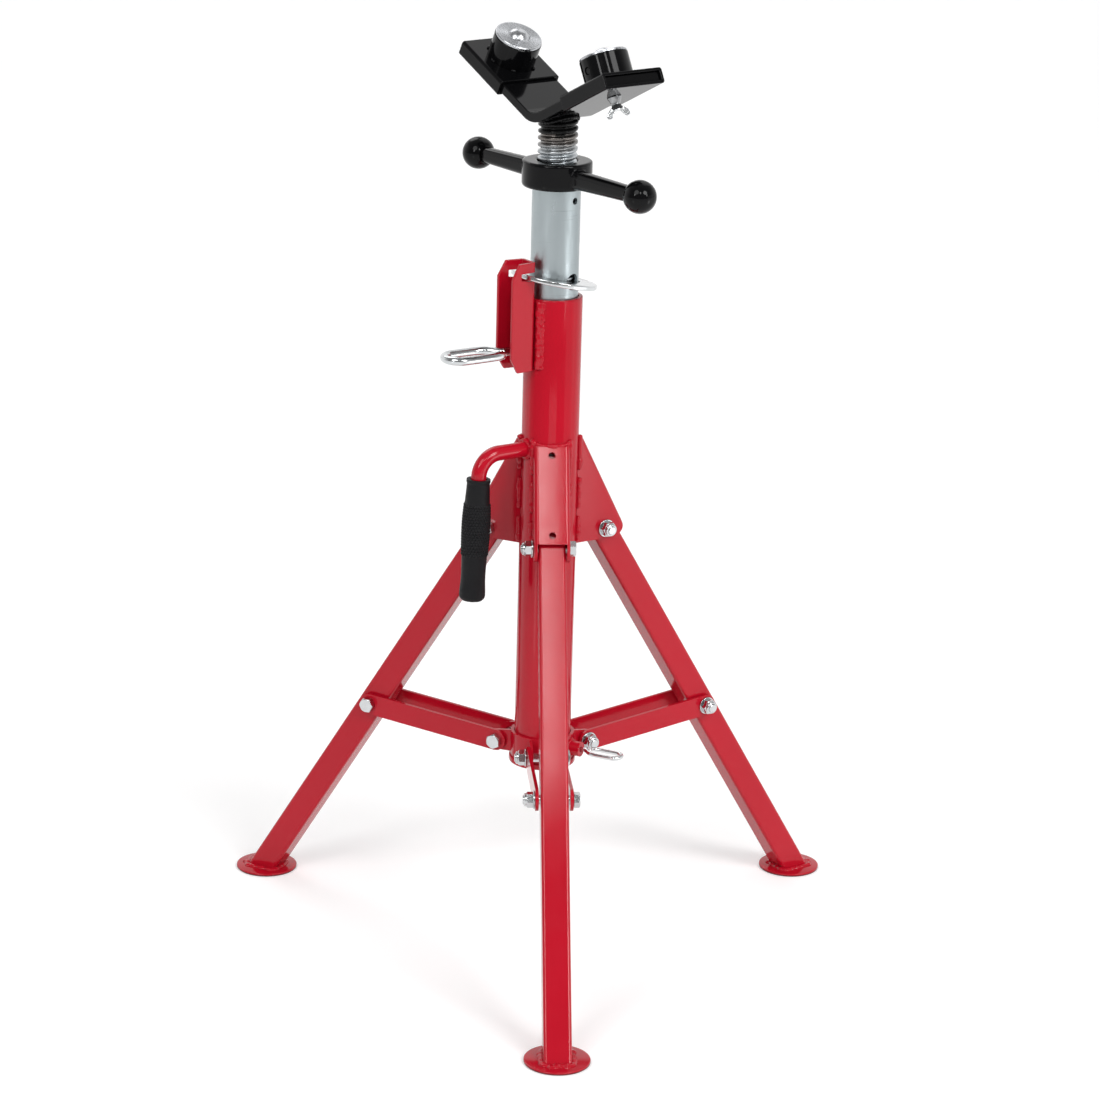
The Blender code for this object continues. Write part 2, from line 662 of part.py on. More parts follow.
def make_lock(stand):
    lock = station("lock_station", stand, LOCK_AZIMUTH)
    near = COLUMN_R + GAP
    bend = PLATE + SLIDE_CLEARANCE
    reach = LOCK_BRACKET_REACH
    half = LOCK_BRACKET_WIDTH / 2
    half_web = LOCK_BRACKET_WEB_WIDTH / 2

    # Channel section with its web on the column and flared sides, and its outline with two clipped corners
    flare = math.atan2(half - half_web, reach - near - bend)
    outer = arc((near + bend, half_web - bend), bend, 180, 90 + math.degrees(flare), 4) + [(reach, half)]
    inner_end = half - PLATE / math.cos(flare)
    inner_root = inner_end - (reach - near - PLATE) * math.tan(flare)
    one_side = outer + [(reach, inner_end), (near + PLATE, inner_root)]
    section = one_side + [(x, -y) for x, y in reversed(one_side)]
    low = COLUMN_TOP_Z - LOCK_BRACKET_BELOW
    high = COLUMN_TOP_Z + LOCK_BRACKET_ABOVE
    clip = LOCK_BRACKET_CHAMFER
    clip_z = LOCK_BRACKET_CHAMFER_HEIGHT
    side = [(0.0, low), (reach - clip, low), (reach, low + clip_z)]
    side += [(reach, high - clip_z), (reach - clip, high), (0.0, high)]
    side = moved(prism(side, -COLUMN_OD, COLUMN_OD), UPRIGHT)
    bracket = combined(prism(section, low, high), side, "INTERSECT")
    # The slot narrows outwards, as the tilted ring does not reach down there
    slot_slope = (LOCK_SLOT_BELOW_PIVOT - LOCK_SLOT_BELOW_AT_END) / (LOCK_SLOT_REACH - near)
    slot_high = RING_PIVOT_Z + LOCK_SLOT_ABOVE_PIVOT
    slot_end = RING_PIVOT_Z - LOCK_SLOT_BELOW_AT_END
    slot = [(0.0, slot_end - LOCK_SLOT_REACH * slot_slope), (LOCK_SLOT_REACH, slot_end)]
    slot += [(LOCK_SLOT_REACH, slot_high), (0.0, slot_high)]
    slot = moved(prism(slot, -COLUMN_OD, COLUMN_OD), UPRIGHT)
    pin_hole = radial_drill(LOCK_PIN_D / 2 + HOLE_CLEARANCE, 0.0, LOCK_PIN_Z, 0.0, COLUMN_OD)
    place("lock_bracket", cut(bracket, slot, pin_hole), "red_paint", lock)

    # The ring hangs from the slot and binds on the tube
    tilt = math.radians(RING_TILT)
    hinge = empty("lock_ring_hinge", lock, (RING_PIVOT_REACH, 0.0, RING_PIVOT_Z), (0.0, -tilt, 0.0))
    hole = TUBE_R + RING_TUBE_CLEARANCE
    outer = RING_OD / 2
    edge = RING_THICKNESS / 4
    thick = RING_THICKNESS / 2
    ring = [
        (hole, -thick),
        (outer - edge, -thick),
        (outer, edge - thick),
        (outer, thick - edge),
        (outer - edge, thick),
        (hole, thick),
    ]
    centre = -(RING_PIVOT_REACH - RING_OFFSET_AT_REST) / math.cos(tilt)
    place("lock_ring", turned(ring, FINE), "bright_zinc", hinge, (centre, 0.0, 0.0))

    pull = empty("lock_pin_pull", lock, (0.0, 0.0, LOCK_PIN_Z))
    path = loop_path(TUBE_R + GAP, LOCK_LOOP_START, LOCK_LOOP_TIP, LOCK_LOOP_HALF_WIDTH, LOCK_PIN_D)
    place("lock_pin", swept(path, LOCK_PIN_D / 2, 9), "bright_zinc", pull)


def loop_path(start, loop_start, loop_tip, half_width, rod):
    """A straight shank along X that ends in a long loop, whose free end comes back beside the shank."""
    entry = (loop_tip - loop_start) * 0.22
    bend_x = loop_tip - rod / 2 - half_width
    shank = [(start, 0.0), (loop_start - entry * 0.4, 0.0)]
    out = [(loop_start, -half_width * 0.12), (loop_start + entry, -half_width * 0.92)]
    back = [(loop_start + entry, half_width * 0.96), (loop_start + entry * 0.25, half_width * 0.72)]
    turn = arc((bend_x, 0.0), half_width, -90, 90, 6)
    knots = [shank[1]] + out + turn + back
    flat = [shank[0]] + [(p.x, p.y) for p in smooth_path([(x, y, 0.0) for x, y in knots], 2)]
    return [(x, y, 0.0) for x, y in flat]


def make_handle(stand):
    side = station("handle_station", stand, HANDLE_AZIMUTH)
    lean = math.radians(HANDLE_LEAN)
    bend_centre = (HANDLE_REACH - HANDLE_BEND, HANDLE_Z - HANDLE_BEND)
    bend = arc(bend_centre, HANDLE_BEND, 90, HANDLE_LEAN, 6)
    rod_low = GRIP_TOP_Z - GRIP_LENGTH + GRIP_END_THICKNESS + GAP
    foot_x = bend[-1][0] + (bend[-1][1] - rod_low) * math.tan(lean)
    path = [(COLUMN_R * 0.7, HANDLE_Z)] + bend + [(foot_x, rod_low)]
    rod = swept([(x, 0.0, z) for x, z in path], HANDLE_ROD_D / 2, 16)
    rod = cut(rod, cylinder(COLUMN_R + GAP, 0.0, COLUMN_TOP_Z, FINE))
    place("carry_handle", rod, "red_paint", side)

    # The grip is a turned sleeve: lip, swelling, waist and bulb, closed at its lower end
    length = GRIP_LENGTH
    rising = (GRIP_NECK_D + GRIP_SWELL_D) / 2
    falling = (GRIP_SWELL_D + GRIP_WAIST_D) / 2
    shape = (
        (0.0, GRIP_LIP_D), (0.023, GRIP_LIP_D), (0.045, GRIP_NECK_D), (0.19, rising),
        (0.33, GRIP_SWELL_D), (0.46, GRIP_SWELL_D), (0.61, falling), (0.81, GRIP_WAIST_D),
        (0.93, GRIP_BULB_D), (0.975, GRIP_BULB_D), (1.0, GRIP_TIP_D),
    )
    bore = HANDLE_ROD_D / 2 + GAP
    floor = length - GRIP_END_THICKNESS
    profile = [(0.0, -floor), (bore, -floor), (bore, 0.0)]
    profile += [(d / 2, -share * length) for share, d in shape] + [(0.0, -length)]
    top_x = bend[-1][0] + (bend[-1][1] - GRIP_TOP_Z) * math.tan(lean)
    place("handle_grip", turned(profile, 18), "rubber", side, (top_x, 0.0, GRIP_TOP_Z), (0.0, -lean, 0.0))


def bracket_outline():
    """The leg bracket's side, in distance out and height."""
    slope = math.radians(BRACKET_SLOPE)
    nose = (LEG_PIVOT_RADIUS + BRACKET_NOSE_OUT, LEG_PIVOT_Z + BRACKET_NOSE_UP)
    nose_along_web = BRACKET_NOSE_OUT * math.cos(slope) + BRACKET_NOSE_UP * math.sin(slope)
    web_from_nose = BRACKET_WEB_OFFSET - nose_along_web
    outline = [(0.0, nose[1] - web_from_nose)]
    outline += arc(nose, web_from_nose, -90, BRACKET_SLOPE, 6)
    top = web_point(-BRACKET_WEB_LENGTH)
    outline += [top, (0.0, top[1] + BRACKET_TOP_RISE * top[0] / COLUMN_R)]
    return outline


def web_point(down, inward=0.0):
    """A point on the bracket's sloping web, measured down the web from level with the pivot."""
    slope = math.radians(BRACKET_SLOPE)
    out = BRACKET_WEB_OFFSET - inward
    return (
        LEG_PIVOT_RADIUS + out * math.cos(slope) + down * math.sin(slope),
        LEG_PIVOT_Z + out * math.sin(slope) - down * math.cos(slope),
    )


def make_leg_bracket(name, side):
    slope = math.radians(BRACKET_SLOPE)
    web = BRACKET_WEB_OFFSET
    bend = BRACKET_BEND
    inner_bend = BRACKET_BEND - PLATE
    deep = -BRACKET_WEB_LENGTH
    # Channel section in X (out from the pivot) and Y (across), bent from one plate
    section = [(deep, -BRACKET_OUTER)] + arc((web - bend, bend - BRACKET_OUTER), bend, -90, 0, 4)
    section += arc((web - bend, BRACKET_OUTER - bend), bend, 0, 90, 4)
    section += [(deep, BRACKET_OUTER), (deep, BRACKET_INNER)]
    section += arc((web - bend, BRACKET_OUTER - bend), inner_bend, 90, 0, 3)
    section += arc((web - bend, bend - BRACKET_OUTER), inner_bend, 0, -90, 3) + [(deep, -BRACKET_INNER)]
    to_slope = Matrix.Translation((LEG_PIVOT_RADIUS, 0.0, LEG_PIVOT_Z)) @ Matrix.Rotation(-slope, 4, "Y")
    channel = moved(prism(section, -BRACKET_WEB_LENGTH, 2 * BRACKET_WEB_LENGTH), to_slope)
    outline = moved(prism(bracket_outline(), -COLUMN_OD, COLUMN_OD), UPRIGHT)
    bracket = combined(channel, outline, "INTERSECT")

    # The web stops level with the pivot, so that the leg can swing out below it
    below = moved(box((0.0, -BRACKET_INNER, -BRACKET_WEB_LENGTH), (2 * web, BRACKET_INNER, 0.0)), to_slope)
    column = cylinder(COLUMN_R + GAP, 0.0, COLUMN_TOP_Z, FINE)
    pivot = moved(cylinder(BOLT_D / 2 + HOLE_CLEARANCE, -COLUMN_OD, COLUMN_OD, COARSE), ALONG_Y)
    pivot = moved(pivot, Matrix.Translation((LEG_PIVOT_RADIUS, 0.0, LEG_PIVOT_Z)))
    bracket = cut(bracket, below, column, pivot)
    for up in (BRACKET_HOLE_INSET, BRACKET_WEB_LENGTH - BRACKET_HOLE_INSET):
        hole = moved(cylinder(BRACKET_HOLE_D / 2, web - bend, web + bend, COARSE), ALONG_X)
        bracket = cut(bracket, moved(moved(hole, Matrix.Translation((0.0, 0.0, up))), to_slope))
    place(name + "_leg_bracket", bracket, "red_paint", side)


def bolt_head(at):
    """A hexagonal head that faces +Z, with its underside at a height."""
    return prism(hexagon(BOLT_ACROSS_FLATS), at, at + BOLT_HEAD_HEIGHT)


def bolt_nut(at):
    """A washer and a domed lock nut that face -Z, with the washer's upper side at a height."""
    washer = cylinder(WASHER_D / 2, at - WASHER_THICKNESS, at, 14)
    seat = at - WASHER_THICKNESS
    nut = prism(hexagon(BOLT_ACROSS_FLATS), seat - NUT_HEIGHT, seat + WASHER_THICKNESS / 2)
    end = seat - NUT_HEIGHT
    dome = turned(
        [
            (0.0, end - NUT_DOME),
            (BOLT_ACROSS_FLATS * 0.36, end - NUT_DOME),
            (BOLT_ACROSS_FLATS * 0.47, end - NUT_DOME * 0.4),
            (BOLT_ACROSS_FLATS * 0.47, end + NUT_HEIGHT / 2),
            (0.0, end + NUT_HEIGHT / 2),
        ],
        COARSE,
    )
    return joined(washer, nut, dome)


def through_bolt(half_grip):
    """A bolt along +Y through plates whose outer faces are half the grip from the middle."""
    seat = half_grip + GAP
    shank = cylinder(BOLT_D / 2, -seat - WASHER_THICKNESS, seat + BOLT_HEAD_HEIGHT / 2, COARSE)
    return moved(joined(shank, bolt_head(seat), bolt_nut(-seat)), ALONG_Y)


def across(radius, x, z, half):
    """A drill along Y at a point in X and Z."""
    drill = moved(cylinder(radius, -half, half, COARSE), ALONG_Y)
    return moved(drill, Matrix.Translation((x, 0.0, z)))


def make_leg(name, side):
    pivot = (LEG_PIVOT_RADIUS, 0.0, LEG_PIVOT_Z)
    place(name + "_leg_pivot_bolt", through_bolt(BRACKET_OUTER), "bright_zinc", side, pivot)

    # The leg hangs along -Z from its pivot, then leans out
    swing = empty(name + "_leg_swing", side, pivot, (0.0, -LEG_TILT, 0.0))
    long = (LEG_PIVOT_Z - FOOT_THICKNESS) / math.cos(LEG_TILT)
    below = long + LEG_WIDTH
    tube = prism(rounded_rectangle(LEG_WIDTH, LEG_WIDTH, LEG_CORNER), -below, LEG_TOP_EXTRA)
    bore_width = LEG_WIDTH - 2 * LEG_WALL
    bore = prism(rounded_rectangle(bore_width, bore_width, LEG_CORNER - LEG_WALL, 2), -2 * below, below)
    # The floor line in the leg's own frame, just above the foot disc
    floor = box((-below, -LEG_WIDTH, -below), (below, LEG_WIDTH, 0.0))
    floor = moved(floor, Matrix.Rotation(LEG_TILT, 4, "Y"))
    floor_drop = (LEG_PIVOT_Z - FOOT_THICKNESS - GAP) / math.cos(LEG_TILT)
    floor = moved(floor, Matrix.Translation((0.0, 0.0, -floor_drop)))
    hole = BOLT_D / 2 + HOLE_CLEARANCE
    top_hole = across(hole, 0.0, 0.0, LEG_WIDTH)
    strap_hole = across(hole, 0.0, -LEG_TO_STRAP_PIVOT, LEG_WIDTH)
    leg = cut(tube, bore, floor, top_hole, strap_hole)
    place(name + "_leg", leg, "red_paint", swing)

    edge = FOOT_THICKNESS / 4
    foot_r = FOOT_D / 2
    disc = turned(
        [
            (0.0, 0.0),
            (foot_r, 0.0),
            (foot_r, FOOT_THICKNESS - edge),
            (foot_r - edge, FOOT_THICKNESS),
            (0.0, FOOT_THICKNESS),
        ],
        36,
    )
    foot_seat = Matrix.Translation((FOOT_RADIUS - pivot[0], 0.0, -LEG_PIVOT_Z))
    foot_seat = Matrix.Rotation(LEG_TILT, 4, "Y") @ foot_seat
    place(name + "_foot", moved(disc, foot_seat), "red_paint", swing)

    reach = STRAP_INNER - GAP
    shank = moved(cylinder(BOLT_D / 2, -reach, reach, COARSE), ALONG_Y)
    place(name + "_strap_pivot", shank, "bright_zinc", swing, (0.0, 0.0, -LEG_TO_STRAP_PIVOT))


def strap_outline():
    radius = STRAP_HEIGHT / 2
    return arc((0.0, 0.0), radius, 90, 270, 7) + arc((STRAP_LENGTH, 0.0), radius, -90, 90, 7)


def make_straps(name, side):
    """Two flat straps from the collar's ears to the leg, with the ends of the pivot bolt."""
    pivot = (COLLAR_PIVOT_RADIUS, 0.0, COLLAR_PIVOT_Z)
    swing = empty(name + "_strap_swing", side, pivot, (0.0, -STRAP_ANGLE, 0.0))
    hole = BOLT_D / 2 + HOLE_CLEARANCE
    for half, low in (("a", STRAP_INNER), ("b", -STRAP_OUTER)):
        strap = moved(prism(strap_outline(), -low - PLATE, -low), UPRIGHT)
        strap = cut(strap, across(hole, 0.0, 0.0, COLUMN_OD), across(hole, STRAP_LENGTH, 0.0, COLUMN_OD))
        place(name + "_strap_" + half, strap, "red_paint", swing)

    seat = STRAP_OUTER + GAP
    head = joined(cylinder(BOLT_D / 2, STRAP_INNER, seat + BOLT_HEAD_HEIGHT / 2, COARSE), bolt_head(seat))
    nut = joined(cylinder(BOLT_D / 2, -seat - WASHER_THICKNESS, -STRAP_INNER, COARSE), bolt_nut(-seat))
    place(name + "_strap_bolt_head", moved(head, ALONG_Y), "bright_zinc", swing, (STRAP_LENGTH, 0.0, 0.0))
    place(name + "_strap_bolt_nut", moved(nut, ALONG_Y), "bright_zinc", swing, (STRAP_LENGTH, 0.0, 0.0))


def make_collar(stand):
    slide = empty("collar_slide", stand, (0.0, 0.0, COLLAR_BOTTOM_Z))
    inner = COLUMN_R + SLIDE_CLEARANCE
    collar = turned([(inner, 0.0), (COLLAR_R, 0.0), (COLLAR_R, COLLAR_HEIGHT), (inner, COLLAR_HEIGHT)], FINE)
    ear_outer = STRAP_INNER - GAP
    margin = COLLAR_HEIGHT / 20
    pivot = (COLLAR_PIVOT_RADIUS, COLLAR_PIVOT_UP)
    ear = [(inner * 0.8, margin), (inner, margin)] + arc(pivot, EAR_RADIUS, -90, 75, 6)
    ear += [(inner, COLLAR_HEIGHT - margin), (inner * 0.8, COLLAR_HEIGHT - margin)]
    for azimuth in LEG_AZIMUTHS.values():
        turn = Matrix.Rotation(math.radians(azimuth), 4, "Z")
        for low in (ear_outer - EAR_THICKNESS, -ear_outer):
            plate = moved(prism(ear, -low - EAR_THICKNESS, -low), UPRIGHT)
            collar = joined(collar, moved(plate, turn))
    collar = cut(collar, cylinder(inner, -COLLAR_HEIGHT, 2 * COLLAR_HEIGHT, FINE))
    for azimuth in LEG_AZIMUTHS.values():
        turn = Matrix.Rotation(math.radians(azimuth), 4, "Z")
        drill = across(BOLT_D / 2 + HOLE_CLEARANCE, *pivot, COLUMN_OD)
        collar = cut(collar, moved(drill, turn))
    pin_r = COLLAR_PIN_D / 2 + HOLE_CLEARANCE
    collar = cut(collar, radial_drill(pin_r, COLLAR_PIN_AZIMUTH, COLLAR_PIN_UP, 0.0, COLUMN_OD))
    place("collar", collar, "red_paint", slide)

    pin_side = empty("collar_pin_station", slide, rotation=(0.0, 0.0, math.radians(COLLAR_PIN_AZIMUTH)))
    boss = moved(cylinder(PIN_BOSS_D / 2, 0.0, PIN_BOSS_REACH, 24), ALONG_X)
    boss = moved(boss, Matrix.Translation((0.0, 0.0, COLLAR_PIN_UP)))
    wall = cylinder(COLLAR_R + GAP, -COLLAR_HEIGHT, 2 * COLLAR_HEIGHT, FINE)
    boss = cut(boss, wall, radial_drill(pin_r, 0.0, COLLAR_PIN_UP, 0.0, 2 * COLUMN_OD))
    place("collar_pin_boss", boss, "red_paint", pin_side)

    pull = empty("collar_pin_pull", pin_side, (0.0, 0.0, COLLAR_PIN_UP))
    path = loop_path(COLUMN_R + GAP, PIN_LOOP_START, PIN_LOOP_TIP, PIN_LOOP_HALF_WIDTH, COLLAR_PIN_D)
    place("collar_pin", swept(path, COLLAR_PIN_D / 2, 8), "bright_zinc", pull)

    for name, azimuth in LEG_AZIMUTHS.items():
        side = empty(name + "_ear_station", slide, rotation=(0.0, 0.0, math.radians(azimuth)))
        bolt = through_bolt(STRAP_OUTER)
        place(name + "_collar_bolt", bolt, "bright_zinc", side, (pivot[0], 0.0, pivot[1]))


def main():
    clear_scene()
    stand = empty("stand", location=(0.0, STAND_Y, 0.0))
    make_column(stand)
    make_inner_tube(stand)
    make_jack_nut(stand)
    head = make_screw_and_plate(stand)
    make_sleeves(head)
    make_lock(stand)
    make_handle(stand)
    make_collar(stand)
    for name, azimuth in LEG_AZIMUTHS.items():
        side = station(name + "_station", stand, azimuth)
        make_leg_bracket(name, side)
        make_leg(name, side)
        make_straps(name, side)


main()
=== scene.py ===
"""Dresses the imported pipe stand: fine forms, thread, welds, fasteners, finishes, light and camera."""

from math import asin, atan2, cos, degrees, hypot, pi, radians, sin, sqrt, tan

import bmesh
import bpy
from mathutils import Matrix, Vector, noise


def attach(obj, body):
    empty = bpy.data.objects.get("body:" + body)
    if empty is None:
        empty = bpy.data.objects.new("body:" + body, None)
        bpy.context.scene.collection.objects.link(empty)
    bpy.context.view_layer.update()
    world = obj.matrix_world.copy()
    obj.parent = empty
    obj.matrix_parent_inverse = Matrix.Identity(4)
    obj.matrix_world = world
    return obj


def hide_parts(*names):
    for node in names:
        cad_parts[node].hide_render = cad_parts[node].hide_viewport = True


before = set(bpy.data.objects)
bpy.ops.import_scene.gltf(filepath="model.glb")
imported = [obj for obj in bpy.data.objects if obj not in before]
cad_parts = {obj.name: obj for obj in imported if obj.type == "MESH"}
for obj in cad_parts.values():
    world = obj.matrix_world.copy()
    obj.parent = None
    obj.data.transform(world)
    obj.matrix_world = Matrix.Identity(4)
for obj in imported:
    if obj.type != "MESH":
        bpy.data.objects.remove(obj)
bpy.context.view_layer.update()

# Sizes shared with the CAD model, in metres
GAP = 0.0003
STAND_Y = 0.085575
COLUMN_R = 0.030
COLUMN_WALL = 0.004
COLUMN_BOTTOM_Z = 0.193
COLUMN_TOP_Z = 0.7035
STOP_RING_R = 0.0355
STOP_RING_HEIGHT = 0.007
TUBE_R = 0.025
TUBE_WALL = 0.003
TUBE_LENGTH = 0.550
TUBE_TOP_Z = 0.8171
TUBE_HOLES = (0.096, 0.171, 0.246)
TUBE_HOLE_R = 0.0085
TUBE_SMALL_HOLE_DROP = 0.0117
TUBE_SMALL_HOLE_R = 0.0036
TUBE_HOLE_AZIMUTH = -43.5
HUB_R = 0.0362
HUB_HEIGHT = 0.0276
HUB_BOTTOM_Z = 0.8174
HUB_MID_Z = 0.8297
ARM_AZIMUTH = -55.5
ARM_REACH = 0.1334
ARM_ROOT = 0.0195
ARM_TIP = 0.0160
KNOB_R = 0.017
SCREW_R = 0.0205
SCREW_PITCH = 0.007
SCREW_DEPTH = 0.0030
SCREW_LOW_Z = 0.7054
V_AZIMUTH = -55.0
V_RISE = 26.4
V_SLOPE = radians(V_RISE)
V_UNDERSIDE_Z = 0.8865
V_PLATE_THICKNESS = 0.0094
V_PLATE_WIDTH = 0.0693
V_BEND_RADIUS = 0.022
V_ARM_LENGTH = 0.125
V_BEND_CENTRE_Z = V_UNDERSIDE_Z + V_PLATE_THICKNESS + V_BEND_RADIUS
V_CORNER_Z = V_BEND_CENTRE_Z - V_BEND_RADIUS / cos(V_SLOPE)
SLEEVE_LENGTH = 0.0734
SLEEVE_WALL = 0.0031
SLEEVE_CLEARANCE = 0.0004
SLEEVE_START = 0.0545
SLEEVE_CORNER = 0.003
HOUSING_R = 0.025
HOUSING_HEIGHT = 0.0252
CAP_R = 0.0244
CAP_THICKNESS = 0.0025
ROLLER_R = 0.0127
ROLLER_SHOWN_R = 0.011
BOSS_R = 0.00725
BOSS_END_R = 0.0050
BOSS_HEIGHT = 0.0062
WING_SCREW_R = 0.004
WING_NECK = 0.0013
WING_BODY_R = 0.006
WING_BODY_HEIGHT = 0.006
WING_SPAN = 0.024
WING_RISE = 0.0072
WING_THICKNESS = 0.0035
LOCK_AZIMUTH = 210.0
LOCK_HALF_WEB = 0.01225
RING_OUTER = 0.045
RING_HOLE = 0.0266
RING_THICKNESS = 0.005
RING_TILT = radians(11.6)
RING_PIVOT_REACH = 0.0442
RING_PIVOT_Z = 0.729
LOCK_PIN_R = 0.0044
LOCK_PIN_Z = 0.650
HANDLE_ROD_R = 0.008
HANDLE_Z = 0.5426
HANDLE_REACH = 0.0876
HANDLE_BEND = 0.0238
HANDLE_LEAN = 2.4
GRIP_TOP_Z = 0.518
GRIP_LENGTH = 0.130
GRIP_LIP_R = 0.0125
GRIP_NECK_R = 0.0120
GRIP_SWELL_R = 0.0141
GRIP_WAIST_R = 0.0128
GRIP_BULB_R = 0.0136
GRIP_TIP_R = 0.0110
LEG_AZIMUTHS = {"front": -90.0, "right": 30.0, "left": 150.0}
FOOT_RADIUS = 0.3423
FOOT_R = 0.03365
FOOT_THICKNESS = 0.003
LEG_WIDTH = 0.0286
LEG_WALL = 0.0025
LEG_CORNER = 0.0035
LEG_TOP_EXTRA = 0.011
LEG_PIVOT_RADIUS = 0.0612
LEG_PIVOT_Z = 0.4484
LEG_TO_STRAP_PIVOT = 0.2644
LEG_TILT = atan2(FOOT_RADIUS - LEG_PIVOT_RADIUS, LEG_PIVOT_Z - FOOT_THICKNESS)
STRAP_PIVOT = (
    LEG_PIVOT_RADIUS + LEG_TO_STRAP_PIVOT * sin(LEG_TILT),
    LEG_PIVOT_Z - LEG_TO_STRAP_PIVOT * cos(LEG_TILT),
)
BRACKET_OUTER = 0.0188
BRACKET_LOW_Z = 0.4372
BRACKET_TOP = (0.03174, 0.54956)
BRACKET_TOP_SLOPE = 0.2167
BRACKET_SLOPE = radians(28.4)
BRACKET_WEB_OFFSET = 0.0222
BRACKET_HOLE_R = 0.00375
BRACKET_HOLE_UP = 0.0938
STRAP_INNER = 0.016
STRAP_OUTER = 0.0195
COLLAR_PIVOT = (0.0466, 0.2122)
COLLAR_R = 0.034
COLLAR_PIN_AZIMUTH = -30.0
COLLAR_PIN_R = 0.0025
COLLAR_PIN_Z = 0.2128
PIN_BOSS_R = 0.008
BOLT_R = 0.00475
BOLT_ACROSS_FLATS = 0.0145
BOLT_HEAD_HEIGHT = 0.0068
NUT_HEIGHT = 0.007
WASHER_R = 0.0095
WASHER_THICKNESS = 0.0016

# Sides of round forms
FINE = 96
ROUND = 64
BOLT_SIDES = 40

# Rounded edges in metres, and angles in degrees from which an edge is shaded sharp
PLATE_EDGE = 0.0008
STRAP_EDGE = 0.0006
BOLT_EDGE = 0.00025
BOLT_SHARP = 30.0
WELD_SHARP = 80.0

# Camera fitted to the photograph, about the column's axis
CAMERA_TURN = -3.8686
CAMERA_DISTANCE = 3.6069
CAMERA_HEIGHT = 1.5445
CAMERA_YAW = -0.0472
CAMERA_PITCH = -17.1995
CAMERA_ROLL = 1.514
CAMERA_FOCAL_PIXELS = 3582.29
PHOTO_PIXELS = 1100
SENSOR_MM = 36.0

STAND = Matrix.Translation((0.0, STAND_Y, 0.0))
UPRIGHT = Matrix.Rotation(pi / 2, 4, "X")
ALONG_Y = Matrix.Rotation(-pi / 2, 4, "X")
ALONG_X = Matrix.Rotation(pi / 2, 4, "Y")
SIDES = (("right", 0.0), ("left", pi))


def shift(x, y, z):
    return Matrix.Translation((x, y, z))


def lift(z):
    return shift(0.0, 0.0, z)


def about_z(angle):
    return Matrix.Rotation(angle, 4, "Z")


def about_y(angle):
    return Matrix.Rotation(angle, 4, "Y")


def station(azimuth):
    """The frame on the column's axis whose +X runs out at an azimuth in degrees."""
    return STAND @ about_z(radians(azimuth))


# Mesh helpers
def placed(name, data):
    """A new object in the scene."""
    item = bpy.data.objects.new(name, data)
    bpy.context.scene.collection.objects.link(item)
    return item


def plain_mesh(bm):
    mesh = bpy.data.meshes.new("form")
    bm.to_mesh(mesh)
    bm.free()
    return mesh


def closed_mesh(bm):
    bmesh.ops.recalc_face_normals(bm, faces=bm.faces)
    return plain_mesh(bm)


def moved(mesh, matrix):
    mesh.transform(matrix)
    return mesh


def skin(bm, lower, upper):
    """Faces between two rings of as many points."""
    for i in range(len(lower)):
        j = (i + 1) % len(lower)
        bm.faces.new((lower[i], lower[j], upper[j], upper[i]))


def fan(bm, ring, centre):
    """Faces from a ring to one point."""
    for i in range(len(ring)):
        bm.faces.new((ring[i], ring[(i + 1) % len(ring)], centre))


def round_angles(count):
    return [2 * pi * i / count for i in range(count)]


def turned(profile, sides=FINE):
    """A solid of revolution about Z from a closed outline of (radius, height) points."""
    bm = bmesh.new()
    rings = []
    for radius, height in profile:
        angles = round_angles(sides) if radius else [0.0]
        points = [(radius * cos(a), radius * sin(a), height) for a in angles]
        rings.append([bm.verts.new(point) for point in points])
    for lower, upper in zip(rings, rings[1:] + rings[:1]):
        if len(lower) > 1 and len(upper) > 1:
            skin(bm, lower, upper)
        elif len(lower) > 1:
            fan(bm, lower, upper[0])
        elif len(upper) > 1:
            fan(bm, upper, lower[0])
    return closed_mesh(bm)


def cylinder(radius, low, high, sides=48):
    return turned([(0.0, low), (radius, low), (radius, high), (0.0, high)], sides)


def prism(outline, low, high):
    bm = bmesh.new()
    bottom = [bm.verts.new((x, y, low)) for x, y in outline]
    top = [bm.verts.new((x, y, high)) for x, y in outline]
    bm.faces.new(bottom)
    bm.faces.new(top)
    skin(bm, bottom, top)
    return closed_mesh(bm)


def lofted(sections, closed_path=False):
    """A skin through closed sections of as many points, with end faces or joined into a loop."""
    bm = bmesh.new()
    rings = [[bm.verts.new(point) for point in section] for section in sections]
    for lower, upper in zip(rings, rings[1:]):
        skin(bm, lower, upper)
    if closed_path:
        skin(bm, rings[-1], rings[0])
    else:
        bm.faces.new(rings[0])
        bm.faces.new(rings[-1])
    return closed_mesh(bm)


def rod_sections(points, radii, sides, closed_path=False):
    """Circles across a path, one for each point."""
    points = [Vector(p) for p in points]
    count = len(points)
    sections = []
    side = Vector((0.0, 0.0, 1.0))
    for i, point in enumerate(points):
        if closed_path:
            along = points[(i + 1) % count] - points[i - 1]
        else:
            along = points[min(i + 1, count - 1)] - points[max(i - 1, 0)]
        along.normalize()
        side = side - along * side.dot(along)
        if side.length < 1e-6:
            side = along.orthogonal()
        side.normalize()
        across = along.cross(side)
        section = []
        for a in round_angles(sides):
            section.append(point + (side * cos(a) + across * sin(a)) * radii[i])
        sections.append(section)
    return sections


def swept(points, radius, sides=24):
    """A round rod with slightly rounded ends."""
    points = [Vector(p) for p in points]
    first = (points[1] - points[0]).normalized()
    last = (points[-1] - points[-2]).normalized()
    edge = radius * 0.15
    path = [points[0], points[0] + first * edge] + points[1:-1] + [points[-1] - last * edge, points[-1]]
    radii = [radius - edge] + [radius] * (len(path) - 2) + [radius - edge]
    return lofted(rod_sections(path, radii, sides))


